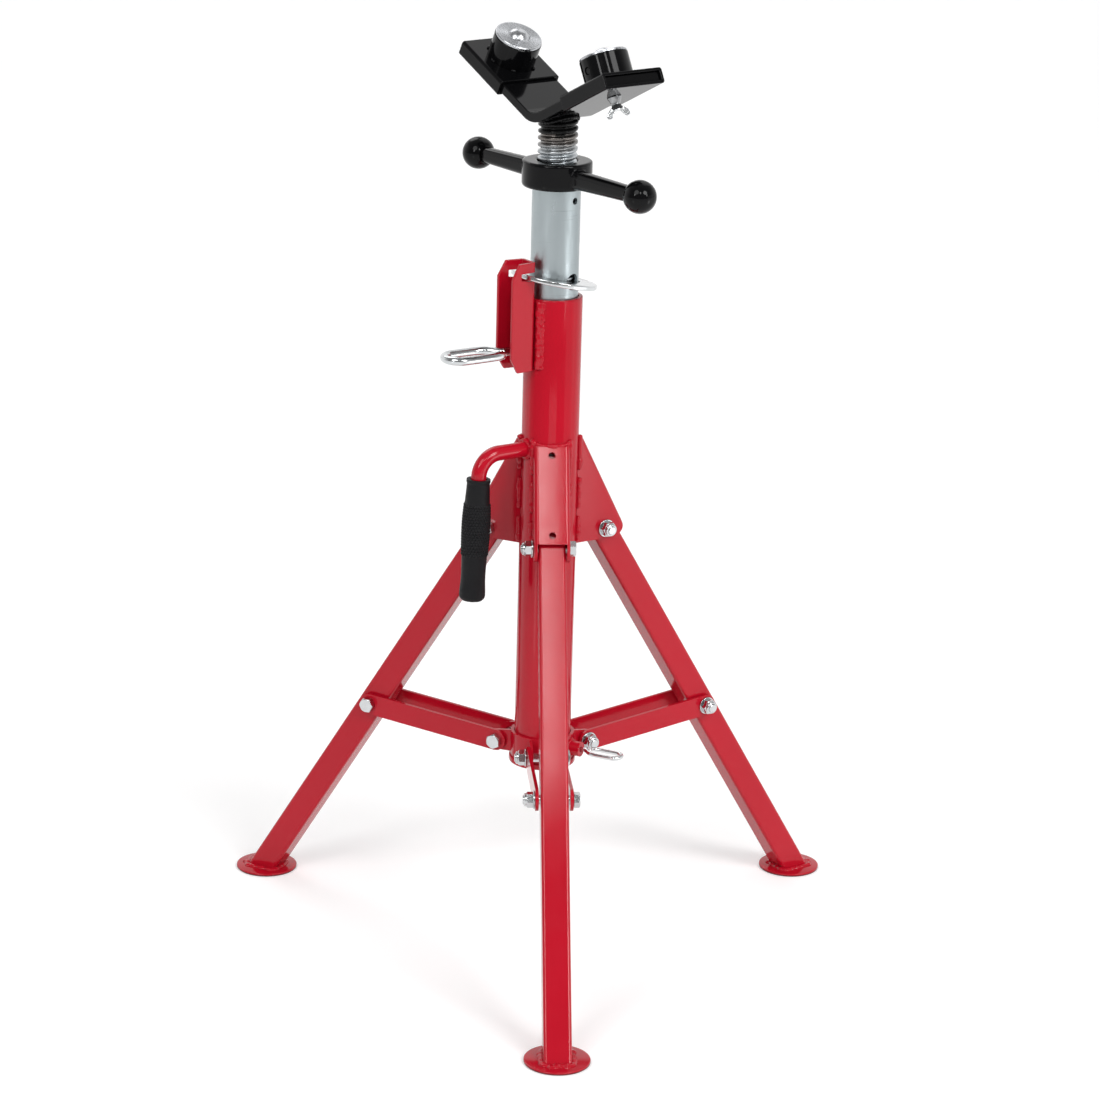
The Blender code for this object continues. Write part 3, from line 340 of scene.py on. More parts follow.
def arc(centre, radius, start, end, steps):
    angles = [radians(start + (end - start) * i / steps) for i in range(steps + 1)]
    return [(centre[0] + radius * cos(a), centre[1] + radius * sin(a)) for a in angles]


def smooth_path(points, steps):
    """Points on a smooth curve through the given points."""
    knots = [Vector(p) for p in points]
    knots = [knots[0] * 2 - knots[1]] + knots + [knots[-1] * 2 - knots[-2]]
    path = []
    for a, b, c, d in zip(knots, knots[1:], knots[2:], knots[3:]):
        for i in range(steps):
            t = i / steps
            bend = (2 * a - 5 * b + 4 * c - d) * t * t + (3 * b - a - 3 * c + d) * t ** 3
            path.append(0.5 * (2 * b + (c - a) * t + bend))
    return path + [knots[-2]]


def rounded_rectangle(width, height, radius, steps=8):
    x = width / 2 - radius
    y = height / 2 - radius
    outline = []
    for centre, start in (((x, y), 0), ((-x, y), 90), ((-x, -y), 180), ((x, -y), 270)):
        outline += arc(centre, radius, start, start + 90, steps)
    return outline


def rounded_ring(inner, outer, low, high, edge):
    """The profile of a ring whose outer edges are rounded."""
    profile = [(inner, low)] + arc((outer - edge, low + edge), edge, -90, 0, 4)
    return profile + arc((outer - edge, high - edge), edge, 0, 90, 4) + [(inner, high)]


def applied(mesh, add_modifiers):
    """The mesh with modifiers applied to it."""
    holder = placed("holder", mesh)
    add_modifiers(holder)
    shown = holder.evaluated_get(bpy.context.evaluated_depsgraph_get())
    result = bpy.data.meshes.new_from_object(shown)
    bpy.data.objects.remove(holder)
    return result


def combined(mesh, other, operation):
    tool = placed("tool", other)

    def add(holder):
        modifier = holder.modifiers.new("combine", "BOOLEAN")
        modifier.operation = operation
        modifier.solver = "EXACT"
        modifier.object = tool

    result = applied(mesh, add)
    bpy.data.objects.remove(tool)
    return result


def cut(mesh, *tools):
    for tool in tools:
        mesh = combined(mesh, tool, "DIFFERENCE")
    return mesh


def merged(*meshes):
    """Several closed shells in one mesh."""
    bm = bmesh.new()
    for mesh in meshes:
        bm.from_mesh(mesh)
    return plain_mesh(bm)


def cast_form(mesh, voxel, rounds):
    """A casting's soft edges and fillets."""

    def add(holder):
        remesh = holder.modifiers.new("remesh", "REMESH")
        remesh.mode = "VOXEL"
        remesh.voxel_size = voxel
        soften = holder.modifiers.new("soften", "SMOOTH")
        soften.factor = 0.5
        soften.iterations = rounds

    return applied(mesh, add)


def radial_drill(radius, azimuth, height, near, far, sides=32):
    drill = moved(cylinder(radius, near, far, sides), ALONG_X)
    return moved(drill, about_z(radians(azimuth)) @ lift(height))


# Pieces
def piece(name, mesh, body, finish, replaces=None, bevel=0.0, sharp=35.0):
    """One piece of the dressed part, riding on a body. Its finish is a slot and a material; the slot is not
    used.
    """
    slot, material = finish
    mesh.name = name
    mesh.materials.clear()
    mesh.materials.append(material)
    mesh.shade_smooth()
    mesh.set_sharp_from_angle(angle=radians(sharp))
    item = placed(name, mesh)
    if bevel:
        modifier = item.modifiers.new("edges", "BEVEL")
        modifier.width = bevel
        modifier.segments = 3
        modifier.limit_method = "ANGLE"
        modifier.angle_limit = radians(32)
        modifier.harden_normals = True
        flatten = item.modifiers.new("flat_faces", "WEIGHTED_NORMAL")
        flatten.keep_sharp = True
    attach(item, body)
    if replaces:
        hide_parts(replaces)


def node_form(node, mesh, body, finish, bevel=0.0, sharp=35.0):
    """A piece that takes the place of a CAD node."""
    piece(node + "_form", mesh, body, finish, node, bevel, sharp)


def dressed(node, body, bevel):
    """A painted CAD node with its flat faces made whole and its edges rounded."""
    bm = bmesh.new()
    bm.from_mesh(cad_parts[node].data)
    bmesh.ops.remove_doubles(bm, verts=bm.verts, dist=0.00002)
    bmesh.ops.dissolve_limit(bm, angle_limit=radians(0.6), verts=bm.verts, edges=bm.edges)
    node_form(node, closed_mesh(bm), body, RED, bevel)


# Materials
def feed(node, values):
    """Sets a node's inputs from sockets, colours and other values."""
    for name, value in values.items():
        socket = node.inputs[name]
        if isinstance(value, bpy.types.NodeSocket):
            node.id_data.links.new(value, socket)
        else:
            socket.default_value = (*value, 1.0) if socket.type == "RGBA" else value
    return node.outputs


def added(tree, kind, values):
    """The outputs of a new node."""
    return feed(tree.nodes.new("ShaderNode" + kind), values)


def new_material(name, colour, roughness, metallic):
    material = bpy.data.materials.new(name)
    material.use_nodes = True
    material.diffuse_color = (*colour, 1.0)
    tree = material.node_tree
    shader = tree.nodes["Principled BSDF"]
    feed(shader, {"Base Color": colour, "Roughness": roughness, "Metallic": metallic})
    return material, tree, shader


def noise_map(tree, scale, detail=3.0, stretch=(1.0, 1.0, 1.0)):
    """A noise over the piece's own coordinates in metres."""
    place = added(tree, "TexCoord", {})["Object"]
    place = added(tree, "Mapping", {"Vector": place, "Scale": stretch})["Vector"]
    return added(tree, "TexNoise", {"Vector": place, "Scale": scale, "Detail": detail})["Fac"]


def coordinate(tree, kind, axis):
    """One coordinate, of the piece itself or of a direction in the world."""
    return added(tree, "SeparateXYZ", {"Vector": added(tree, "TexCoord", {})[kind]})[axis]


def maths(operation, *values):
    """The result of a math node on sockets and numbers."""
    node = values[0].id_data.nodes.new("ShaderNodeMath")
    node.operation = operation
    return feed(node, dict(enumerate(values)))["Value"]


def ranged(value, low, high, start=0.3, end=0.7):
    values = {"Value": value, "From Min": start, "From Max": end, "To Min": low, "To Max": high}
    return added(value.id_data, "MapRange", values)["Result"]


def mixed(factor, first, second):
    """A colour between two, each a colour or a socket."""
    node = factor.id_data.nodes.new("ShaderNodeMix")
    node.data_type = "RGBA"
    return feed(node, {"Factor": factor, 6: first, 7: second})[2]


def bumped(height, strength, distance):
    values = {"Height": height, "Strength": strength, "Distance": distance}
    return added(height.id_data, "Bump", values)["Normal"]


def paint(name, colour, shade, roughness, specular, peel):
    """Gloss powder coat: slow colour drift, uneven gloss and fine orange peel."""
    material, tree, shader = new_material(name, colour, roughness, 0.0)
    drift = ranged(noise_map(tree, 9.0, detail=4.0), 0.0, 1.0)
    gloss = noise_map(tree, 60.0, detail=5.0)
    feed(shader, {
        "Base Color": mixed(drift, colour, shade),
        "Roughness": ranged(gloss, roughness * 0.8, roughness * 1.25),
        "Specular IOR Level": specular,
        "Normal": bumped(noise_map(tree, 850.0, detail=2.0), peel, 0.0003),
    })
    return material


def foot_paint_with_shadow(name, height):
    """The red paint with a painted contact shadow: darker up to a height above the floor."""
    material = RED_COAT.copy()
    material.name = name
    tree = material.node_tree
    shader = tree.nodes["Principled BSDF"]
    unshaded = shader.inputs["Base Color"].links[0].from_socket
    # Painted shadow: the dark colour towards the floor stands in for the shade under the foot's rim.
    shadow_colour = (0.055, 0.004, 0.006)
    shadow_cover = ranged(coordinate(tree, "Object", "Z"), 0.8, 0.0, height * 0.4, height)
    feed(shader, {"Base Color": mixed(shadow_cover, unshaded, shadow_colour)})
    return material


def metal(name, colour, shade, roughness, scale, scratch, stretch=(1.0, 1.0, 1.0), lines=None):
    """Plated or machined steel with fine marks, and faint dark lines where a stretch is given for them."""
    material, tree, shader = new_material(name, colour, roughness, 1.0)
    cloud = ranged(noise_map(tree, scale, 4.0, stretch), 0.0, 1.0)
    surface = mixed(cloud, colour, shade)
    if lines:
        dark = tuple(0.72 * c for c in colour)
        lined = ranged(noise_map(tree, 6.0, 5.0, lines), 0.0, 0.8, 0.62, 0.75)
        surface = mixed(lined, surface, dark)
    marks = noise_map(tree, scale * 12, 6.0, stretch)
    feed(shader, {
        "Base Color": surface,
        "Roughness": ranged(marks, roughness * 0.75, roughness * 1.3),
        "Normal": bumped(marks, scratch, 0.0002),
    })
    return material


def rubber_material():
    material, tree, shader = new_material("rubber", (0.007, 0.007, 0.008), 0.55, 0.0)
    drift = ranged(noise_map(tree, 40.0, detail=4.0), 0.0, 1.0)
    feed(shader, {
        "Base Color": mixed(drift, (0.0055, 0.0055, 0.0065), (0.0085, 0.0085, 0.0095)),
        "Roughness": ranged(noise_map(tree, 300.0), 0.45, 0.62),
        "Specular IOR Level": 0.16,
        "Normal": bumped(noise_map(tree, 1500.0, detail=2.0), 0.12, 0.0004),
    })
    return material


def thread_material():
    """Rolled steel thread, darker near its top and painted black over its top turns."""
    dark_from, dark_to = 0.858, 0.872
    paint_from, paint_to = 0.8775, 0.8795
    dark_steel = (0.17, 0.155, 0.145)
    black = (0.005, 0.005, 0.005)
    material, tree, shader = new_material("thread_steel", (0.36, 0.36, 0.37), 0.3, 1.0)
    edge = noise_map(tree, 90.0, detail=4.0)
    height = maths("MULTIPLY_ADD", edge, 0.012, coordinate(tree, "Object", "Z"))
    painted = ranged(height, 0.0, 1.0, paint_from, paint_to)
    marks = ranged(noise_map(tree, 150.0, detail=5.0), 0.0, 1.0)
    steel = mixed(marks, (0.42, 0.45, 0.47), (0.54, 0.57, 0.59))
    # The steel turns darker towards its top, below the black paint.
    steel = mixed(ranged(height, 0.0, 1.0, dark_from, dark_to), steel, dark_steel)
    feed(shader, {
        "Base Color": mixed(painted, steel, black),
        "Metallic": ranged(painted, 1.0, 0.0, 0.0, 1.0),
        "Roughness": ranged(noise_map(tree, 120.0), 0.24, 0.32),
        "Specular IOR Level": 0.18,
        "Normal": bumped(noise_map(tree, 300.0, detail=2.0), 0.01, 0.0002),
    })
    return material


# Finishes, each a slot and a material
RED_COAT = paint("red_powder_coat", (0.430, 0.0042, 0.0165), (0.395, 0.0034, 0.0140), 0.12, 0.29, 0.03)
BLACK_COAT = paint("black_gloss", (0.0026, 0.0026, 0.0030), (0.0038, 0.0038, 0.0042), 0.09, 0.15, 0.012)
RED = ("red_paint", RED_COAT)
# The feet's red paint carries a painted contact shadow along the floor.
FOOT_RED_SHADOWED = ("red_paint", foot_paint_with_shadow("foot_red_painted_shadow", 0.0022))
BLACK = ("black_paint", BLACK_COAT)
ZINC = ("zinc_tube", metal(
    "zinc_tube", (0.35, 0.395, 0.41), (0.43, 0.475, 0.49), 0.36, 14.0, 0.02,
    stretch=(1.0, 1.0, 0.25), lines=(3.0, 3.0, 70.0),
))
BRIGHT = ("bright_zinc", metal("bright_zinc", (0.58, 0.60, 0.61), (0.70, 0.71, 0.72), 0.16, 60.0, 0.02))
BOLT = ("bright_zinc", metal("bolt_zinc", (0.50, 0.51, 0.52), (0.62, 0.63, 0.64), 0.15, 60.0, 0.02))
BOSS = ("bright_zinc", metal("boss_zinc", (0.20, 0.205, 0.21), (0.42, 0.425, 0.43), 0.20, 160.0, 0.05))
STEEL = ("machined_steel", metal("machined_steel", (0.42, 0.43, 0.45), (0.52, 0.53, 0.55), 0.27, 40.0, 0.008))
CHROME = ("machined_steel", metal("ball_steel", (0.52, 0.53, 0.55), (0.58, 0.59, 0.61), 0.27, 30.0, 0.01))
RUBBER = ("rubber", rubber_material())
THREAD = ("machined_steel", thread_material())


# Welds
def bead(points, radius, seed, closed_path=False, stride=0.85, wavy=0.14, lumpy=0.22):
    """A weld bead of overlapping ripples along a path. Its stride is in radii."""
    lump_scale, fine_scale = 190.0, 430.0
    end_fade = (0.35, 0.65, 0.85, 0.95)
    ripple = radius * stride
    path = [Vector(p) for p in points]
    dense = []
    loop = path + [path[0]] if closed_path else path
    for a, b in zip(loop, loop[1:]):
        steps = max(1, int((b - a).length / (radius * 0.2)))
        dense += [a.lerp(b, i / steps) for i in range(steps)]
    if not closed_path:
        dense.append(path[-1])
    radii = []
    travelled = 0.0
    for i, point in enumerate(dense):
        if i:
            travelled += (point - dense[i - 1]).length
        wave = abs(sin(pi * travelled / ripple))
        lump = noise.noise(point * lump_scale + Vector((seed, 0.0, 0.0)))
        lump += 0.5 * noise.noise(point * fine_scale + Vector((0.0, seed, 0.0)))
        radii.append(radius * (1.0 - wavy + wavy * wave + lumpy * lump))
    if not closed_path:
        for i, fade in enumerate(end_fade[:len(radii)]):
            radii[i] *= fade
            radii[-1 - i] *= fade
    return lofted(rod_sections(dense, radii, 10, closed_path), closed_path)


def blended(*beads):
    """Weld beads run into one another, under paint."""
    return cast_form(merged(*beads), voxel=0.0006, rounds=3)


def saddle(bar_r, column_r, height, out, count):
    """Points round the joint of a level bar with an upright cylinder, a little outside it."""
    points = []
    for a in round_angles(count):
        across = cos(a) * bar_r
        points.append((sqrt(column_r ** 2 - across ** 2) + out, across, height + sin(a) * bar_r))
    return points


def make_column():
    inner = COLUMN_R - COLUMN_WALL
    edge = 0.0008
    low, high = COLUMN_BOTTOM_Z, COLUMN_TOP_Z
    profile = [(inner, low), (COLUMN_R - edge, low), (COLUMN_R, low + edge), (COLUMN_R, high - edge)]
    profile += [(COLUMN_R - edge * 0.4, high - edge * 0.3), (COLUMN_R - edge, high), (inner, high)]
    tube = turned(profile)
    outside = COLUMN_R * 2
    tube = cut(tube, radial_drill(LOCK_PIN_R + GAP, LOCK_AZIMUTH, LOCK_PIN_Z, 0.0, outside))
    tube = cut(tube, radial_drill(COLLAR_PIN_R + GAP, COLLAR_PIN_AZIMUTH, COLLAR_PIN_Z, 0.0, outside))
    tube = moved(tube, STAND)
    # The upper hole of each leg bracket runs on into the column's wall
    depth = 0.0105
    drill = moved(cylinder(BRACKET_HOLE_R, BRACKET_WEB_OFFSET - depth, BRACKET_WEB_OFFSET), ALONG_X)
    slope = shift(LEG_PIVOT_RADIUS, 0.0, LEG_PIVOT_Z) @ about_y(-BRACKET_SLOPE)
    for azimuth in LEG_AZIMUTHS.values():
        tube = cut(tube, moved(drill.copy(), station(azimuth) @ slope @ lift(BRACKET_HOLE_UP)))
    node_form("outer_tube", tube, "column", RED)

    ring = rounded_ring(COLUMN_R + GAP, STOP_RING_R, low, low + STOP_RING_HEIGHT, 0.0016)
    node_form("column_stop_ring", moved(turned(ring), STAND), "column", RED)


def make_inner_tube():
    inner = TUBE_R - TUBE_WALL
    edge = 0.0006
    profile = [(inner, -TUBE_LENGTH), (TUBE_R, -TUBE_LENGTH), (TUBE_R, -edge), (TUBE_R - edge, 0.0)]
    tube = turned(profile + [(inner, 0.0)])
    outside = TUBE_R * 2
    for drop in TUBE_HOLES:
        tube = cut(tube, radial_drill(TUBE_HOLE_R, TUBE_HOLE_AZIMUTH, -drop, -outside, outside, 40))
    tube = cut(tube, radial_drill(TUBE_SMALL_HOLE_R, TUBE_HOLE_AZIMUTH, -TUBE_SMALL_HOLE_DROP, 0.0, outside))
    node_form("inner_tube", moved(tube, STAND @ lift(TUBE_TOP_Z)), "inner_tube_body", ZINC)


def make_jack_nut():
    bore = SCREW_R + 0.0005
    edge = 0.004
    hub = [(bore, 0.0)] + arc((HUB_R - edge, edge), edge, -90, 0, 6)
    hub += arc((HUB_R - edge / 2, HUB_HEIGHT - edge / 2), edge / 2, 0, 90, 4) + [(bore, HUB_HEIGHT)]
    nut = turned(hub)
    mid = HUB_MID_Z - HUB_BOTTOM_Z
    # Each arm swells towards the hub, by distance from the axis
    root = 0.028
    tip = ARM_REACH - KNOB_R + 0.003
    flare = ((root, 1.16), (0.034, 1.10), (0.040, 1.02), (0.046, 1.0), (tip, 1.0))
    for side in (0.0, pi):
        sections = []
        for distance, swell in flare:
            share = (distance - root) / (tip - root)
            size = (ARM_ROOT + (ARM_TIP - ARM_ROOT) * share) * swell
            outline = rounded_rectangle(size * 0.92, size, size * 0.34)
            sections.append([(distance, y, z + mid) for y, z in outline])
        nut = combined(nut, moved(lofted(sections), about_z(side)), "UNION")
    nut = cast_form(nut, voxel=0.0009, rounds=7)
    place = STAND @ lift(HUB_BOTTOM_Z) @ about_z(radians(ARM_AZIMUTH))
    node_form("jack_nut", moved(nut, place), "jack_nut_body", BLACK, sharp=50.0)

    # Each ball has a flat where it meets its arm
    seat_r = ARM_TIP * 0.60
    flat = sqrt(KNOB_R ** 2 - seat_r ** 2)
    start = -degrees(asin(flat / KNOB_R))
    ball = [(0.0, -flat)] + arc((0.0, 0.0), KNOB_R, start, 88, 36) + [(0.0, KNOB_R)]
    for name, side in SIDES:
        knob = moved(turned(ball, ROUND), ALONG_X)
        knob = moved(knob, place @ about_z(side) @ shift(ARM_REACH, 0.0, mid))
        node_form(name + "_knob", knob, "jack_nut_body", BLACK)


def thread_form(radius, depth, pitch, low, high, per_turn=64):
    """A right-hand thread with broad rounded crests and narrow roots, trimmed flat at both ends."""
    turns = int((high - low) / pitch) + 3
    # Half a pitch from crest to root, by share of the pitch and of the depth, and its mirror image
    outline = ((0.0, 1.0), (0.10, 0.985), (0.18, 0.90), (0.24, 0.72))
    outline += ((0.30, 0.42), (0.36, 0.16), (0.42, 0.03))
    outline += ((0.5, 0.0),) + tuple((1.0 - share, rise) for share, rise in reversed(outline[1:]))
    shape = [(share * pitch, radius - depth + depth * rise) for share, rise in outline]
    steps = len(shape)
    bm = bmesh.new()
    start = low - pitch * 1.5
    count = turns * per_turn
    columns = []
    for i in range(count + 1):
        a = 2 * pi * i / per_turn
        rise = start + pitch * i / per_turn
        columns.append([bm.verts.new((r * cos(a), r * sin(a), rise + dz)) for dz, r in shape])

    def vertex(i, k):
        if k == steps:
            return columns[i + per_turn][0]
        return columns[i][k]

    last = count - per_turn
    for i in range(last):
        for k in range(steps):
            bm.faces.new((vertex(i, k), vertex(i + 1, k), vertex(i + 1, k + 1), vertex(i, k + 1)))
    bottom = [columns[i][0] for i in range(per_turn + 1)]
    bottom += [columns[0][k] for k in range(steps - 1, 0, -1)]
    top = [columns[i][0] for i in range(last + per_turn, last - 1, -1)]
    top += [columns[last][k] for k in range(1, steps)]
    for loop, height in ((bottom, start - pitch), (top, start + pitch * (turns + 1))):
        fan(bm, loop, bm.verts.new((0.0, 0.0, height)))
    for spare in [v for v in bm.verts if not v.link_faces]:
        bm.verts.remove(spare)
    return combined(closed_mesh(bm), cylinder(radius * 1.5, low, high), "INTERSECT")


def v_outline():
    along = Vector((cos(V_SLOPE), sin(V_SLOPE)))
    under = Vector((sin(V_SLOPE), -cos(V_SLOPE)))
    top_end = Vector((0.0, V_CORNER_Z)) + along * V_ARM_LENGTH
    low_end = top_end + under * V_PLATE_THICKNESS
    centre = (0.0, V_BEND_CENTRE_Z)
    top = arc(centre, V_BEND_RADIUS, -90 - V_RISE, -90 + V_RISE, 24)
    low = arc(centre, V_BEND_RADIUS + V_PLATE_THICKNESS, -90 + V_RISE, -90 - V_RISE, 24)
    right = [tuple(top_end), tuple(low_end)]
    left = [(-x, y) for x, y in reversed(right)]
    return top + right + low + left


def underside(x):
    """Height of the V-plate's underside at a distance along the arms."""
    radius = V_BEND_RADIUS + V_PLATE_THICKNESS
    edge = radius * sin(V_SLOPE)
    if abs(x) < edge:
        return V_BEND_CENTRE_Z - sqrt(radius ** 2 - x ** 2)
    return V_BEND_CENTRE_Z - radius * cos(V_SLOPE) + (abs(x) - edge) * tan(V_SLOPE)


def make_head():
    head = station(V_AZIMUTH)
    half = V_PLATE_WIDTH / 2
    plate = moved(prism(v_outline(), -half, half), UPRIGHT)
    node_form("v_plate", moved(plate, head), "jack_head", BLACK, bevel=0.0009)

    # The screw's top is cut to the plate's underside
    screw = thread_form(SCREW_R, SCREW_DEPTH, SCREW_PITCH, SCREW_LOW_Z, V_UNDERSIDE_Z + 0.012)
    reach = 0.06
    above = 1.0
    marks = [reach * (i / 24 - 0.5) * 2 for i in range(25)]
    tool = [(x, underside(x) - GAP) for x in marks] + [(reach, above), (-reach, above)]
    screw = cut(screw, moved(prism(tool, -reach, reach), UPRIGHT))
    node_form("jack_screw", moved(screw, head), "jack_head", THREAD, sharp=60.0)

    weld_r = SCREW_R - 0.0006
    drop = 0.0016
    ring = []
    for a in round_angles(72):
        x = weld_r * cos(a)
        ring.append(head @ Vector((x, weld_r * sin(a), underside(x) - drop)))
    weld = bead(ring, 0.0023, seed=3.0, closed_path=True, stride=1.6, wavy=0.22, lumpy=0.40)
    piece("head_weld", weld, "jack_head", BLACK, sharp=WELD_SHARP)

    for name, side in SIDES:
        turn = about_z(side) @ lift(V_CORNER_Z) @ about_y(-V_SLOPE)
        make_slider(name, head @ turn @ shift(SLEEVE_START + SLEEVE_LENGTH / 2, 0.0, 0.0))


def make_slider(name, place):
    body = name + "_slider"
    spare = 2 * (SLEEVE_CLEARANCE + SLEEVE_WALL)
    width = V_PLATE_WIDTH + spare
    height = V_PLATE_THICKNESS + spare
    half = SLEEVE_LENGTH / 2
    top = SLEEVE_CLEARANCE + SLEEVE_WALL
    bottom = top - height
    shell = prism(rounded_rectangle(width, height, SLEEVE_CORNER), -half, half)
    core = rounded_rectangle(width - 2 * SLEEVE_WALL, height - 2 * SLEEVE_WALL, SLEEVE_CORNER / 3, 4)
    sleeve = cut(shell, prism(core, -half * 2, half * 2))
    sleeve = moved(sleeve, ALONG_X @ about_z(pi / 2))
    sleeve = moved(sleeve, lift((top + bottom) / 2))
    sleeve = cut(sleeve, cylinder(WING_SCREW_R + GAP, bottom - half, -V_PLATE_THICKNESS / 2))
    node_form(name + "_sleeve", moved(sleeve, place), body, BLACK, bevel=0.0006)
    make_ball_unit(name, body, place @ lift(top + GAP))
    make_clamp(name, body, place, bottom - GAP)


def make_ball_unit(name, body, base):
    """The housing on a sleeve with its grub screw, cap, ball and tack welds."""
    total = HOUSING_HEIGHT + GAP + CAP_THICKNESS
    centre = total - sqrt(ROLLER_R ** 2 - ROLLER_SHOWN_R ** 2)
    cup = ROLLER_R + GAP
    edge = 0.0007
    housing = [(0.0, 0.0), (HOUSING_R, 0.0), (HOUSING_R, HOUSING_HEIGHT - edge)]
    housing += [(HOUSING_R - edge, HOUSING_HEIGHT), (cup, HOUSING_HEIGHT)]
    housing += arc((0.0, centre), cup, 0, -80, 10) + [(0.0, centre - cup)]
    level = HOUSING_HEIGHT * 0.5
    sunk = HOUSING_R - 0.003
    facing = about_z(pi)
    hole = moved(cylinder(0.0040, sunk, HOUSING_R + 0.01), ALONG_Y)
    form = cut(turned(housing), moved(hole, facing @ lift(level)))
    node_form(name + "_ball_housing", moved(form, base), body, BLACK, bevel=0.0003)
    plug = turned([(0.0, 0.0), (0.0036, 0.0), (0.0036, 0.0012), (0.0030, 0.0018), (0.0, 0.0018)], 32)
    plug_place = facing @ shift(0.0, sunk, level) @ ALONG_Y
    piece(name + "_grub_screw", moved(plug, base @ plug_place), body, BLACK)

    def clear(height):
        return sqrt(cup ** 2 - (height - centre) ** 2)

    # The cap's face has turned grooves
    low = HOUSING_HEIGHT + GAP
    chamfer = 0.0007
    deep = 0.00026
    half = 0.0004
    lands = 7
    inner = clear(total)
    cap = [(clear(low), low), (CAP_R, low), (CAP_R, total - chamfer), (CAP_R - chamfer, total)]
    for i in range(1, lands):
        radius = CAP_R - chamfer + (inner - CAP_R + chamfer) * i / lands
        cap += [(radius + half, total), (radius, total - deep), (radius - half, total)]
    cap += [(inner, total)]
    node_form(name + "_ball_cap", moved(turned(cap), base), body, STEEL)

    ball = [(0.0, -ROLLER_R)] + arc((0.0, 0.0), ROLLER_R, -86, 86, 32) + [(0.0, ROLLER_R)]
    ball = moved(turned(ball, ROUND), base @ lift(centre))
    node_form(name + "_roller_ball", ball, name + "_ball", CHROME)

    tacks = []
    for k, angle in enumerate((35, 95, 150, 215, 275, 330)):
        a = radians(angle)
        spot = Vector((cos(a), sin(a), 0.0)) * (HOUSING_R + 0.0006)
        run = Vector((-sin(a), cos(a), 0.0)) * 0.0026
        rise = Vector((0.0, 0.0, 0.0004))
        tacks.append(bead([spot - run + rise, spot + rise, spot + run + rise], 0.0019, seed=10.0 + k))
    piece(name + "_tack_welds", moved(merged(*tacks), base), body, BLACK, sharp=WELD_SHARP)


def make_clamp(name, body, place, under):
    """The tapered boss under a sleeve and the wing screw in it."""
    low = under - BOSS_HEIGHT
    rim = under - BOSS_HEIGHT / 8
    boss = turned([(0.0, low), (BOSS_END_R, low), (BOSS_R, rim), (BOSS_R, under), (0.0, under)], ROUND)
    boss = cut(boss, cylinder(WING_SCREW_R + GAP, low - BOSS_HEIGHT, under + BOSS_HEIGHT))
    node_form(name + "_screw_boss", moved(boss, place), body, BOSS, bevel=0.0004)

    top = low - WING_NECK
    bottom = top - WING_BODY_HEIGHT
    grip = turned([(0.0, bottom), (WING_BODY_R, bottom), (WING_BODY_R * 0.76, top), (0.0, top)], 48)
    half = WING_THICKNESS / 2
    lobe = WING_RISE * 0.45
    down = WING_BODY_HEIGHT + WING_RISE
    outline = [(0.0, WING_BODY_HEIGHT * 0.35), (WING_BODY_R, WING_BODY_HEIGHT * 0.45)]
    outline += arc((WING_SPAN / 2 - lobe, down - lobe), lobe, -50, 130, 16)
    outline += [(WING_BODY_R * 0.4, WING_BODY_HEIGHT)]
    left_at = radians(60)
    for turn in (0.0, pi):
        wing = moved(prism([(x, -z) for x, z in outline], -half, half), UPRIGHT)
        grip = combined(grip, moved(wing, about_z(turn + left_at) @ lift(top)), "UNION")
    grip = cast_form(grip, voxel=0.00038, rounds=5)
    depth, pitch = 0.0007, 0.00125
    shank = thread_form(WING_SCREW_R, depth, pitch, top - 0.002, -V_PLATE_THICKNESS - GAP, 32)
    node_form(name + "_wing_screw", moved(merged(grip, shank), place), name + "_wing", BRIGHT, sharp=55.0)


def loop_points(start, loop_start, loop_tip, half_width, rod):
    """The route of a pull pin: a straight shank and a long loop."""
    entry = (loop_tip - loop_start) * 0.22
    bend_x = loop_tip - rod / 2 - half_width
    knots = [(loop_start - entry * 0.4, 0.0), (loop_start, -half_width * 0.12)]
    knots += [(loop_start + entry, -half_width * 0.92)]
    knots += arc((bend_x, 0.0), half_width, -90, 90, 6)
    knots += [(loop_start + entry, half_width * 0.96), (loop_start + entry * 0.25, half_width * 0.72)]
    return [Vector((start, 0.0, 0.0))] + smooth_path([(x, y, 0.0) for x, y in knots], 8)


def make_lock():
    lock = station(LOCK_AZIMUTH)
    dressed("lock_bracket", "column", PLATE_EDGE)

    thick = RING_THICKNESS / 2
    ring = rounded_ring(RING_HOLE, RING_OUTER, -thick, thick, 0.0012)
    centre = -(RING_PIVOT_REACH - GAP) / cos(RING_TILT)
    hinge = lock @ shift(RING_PIVOT_REACH, 0.0, RING_PIVOT_Z) @ about_y(-RING_TILT)
    form = moved(turned(ring), hinge @ shift(centre, 0.0, 0.0))
    node_form("lock_ring", form, "lock_ring_body", BRIGHT)

    route = loop_points(TUBE_R + GAP, 0.064, 0.1335, half_width=0.0155, rod=LOCK_PIN_R * 2)
    pin = moved(swept(route, LOCK_PIN_R), lock @ lift(LOCK_PIN_Z))
    node_form("lock_pin", pin, "lock_pin_body", BRIGHT)

    # One flat weld in each corner between bracket and column, in short runs by height.
    # Each run has two beads, by distance out, distance from the web's edge and radius.
    runs = ((0.6300, 0.6470), (0.6450, 0.6600), (0.6570, 0.6860), (0.6825, 0.7025))
    lines = ((0.0275, 0.0017, 0.0031), (0.0243, 0.0046, 0.0027))
    steps = 12
    for name, side in (("near", 1.0), ("far", -1.0)):
        beads = []
        for k, (low, high) in enumerate(runs):
            for out, across, radius in lines:
                run = []
                for i in range(steps + 1):
                    z = low + (high - low) * i / steps
                    sway = 0.0006 * sin(z * 520.0 + side + k)
                    run.append((out - sway / 2, side * (LOCK_HALF_WEB + across + sway), z))
                seed = 20.0 + k + side + across
                beads.append(bead(run, radius, seed, stride=2.9, wavy=0.06, lumpy=0.30))
        piece("lock_weld_" + name, moved(blended(*beads), lock), "column", RED, sharp=WELD_SHARP)


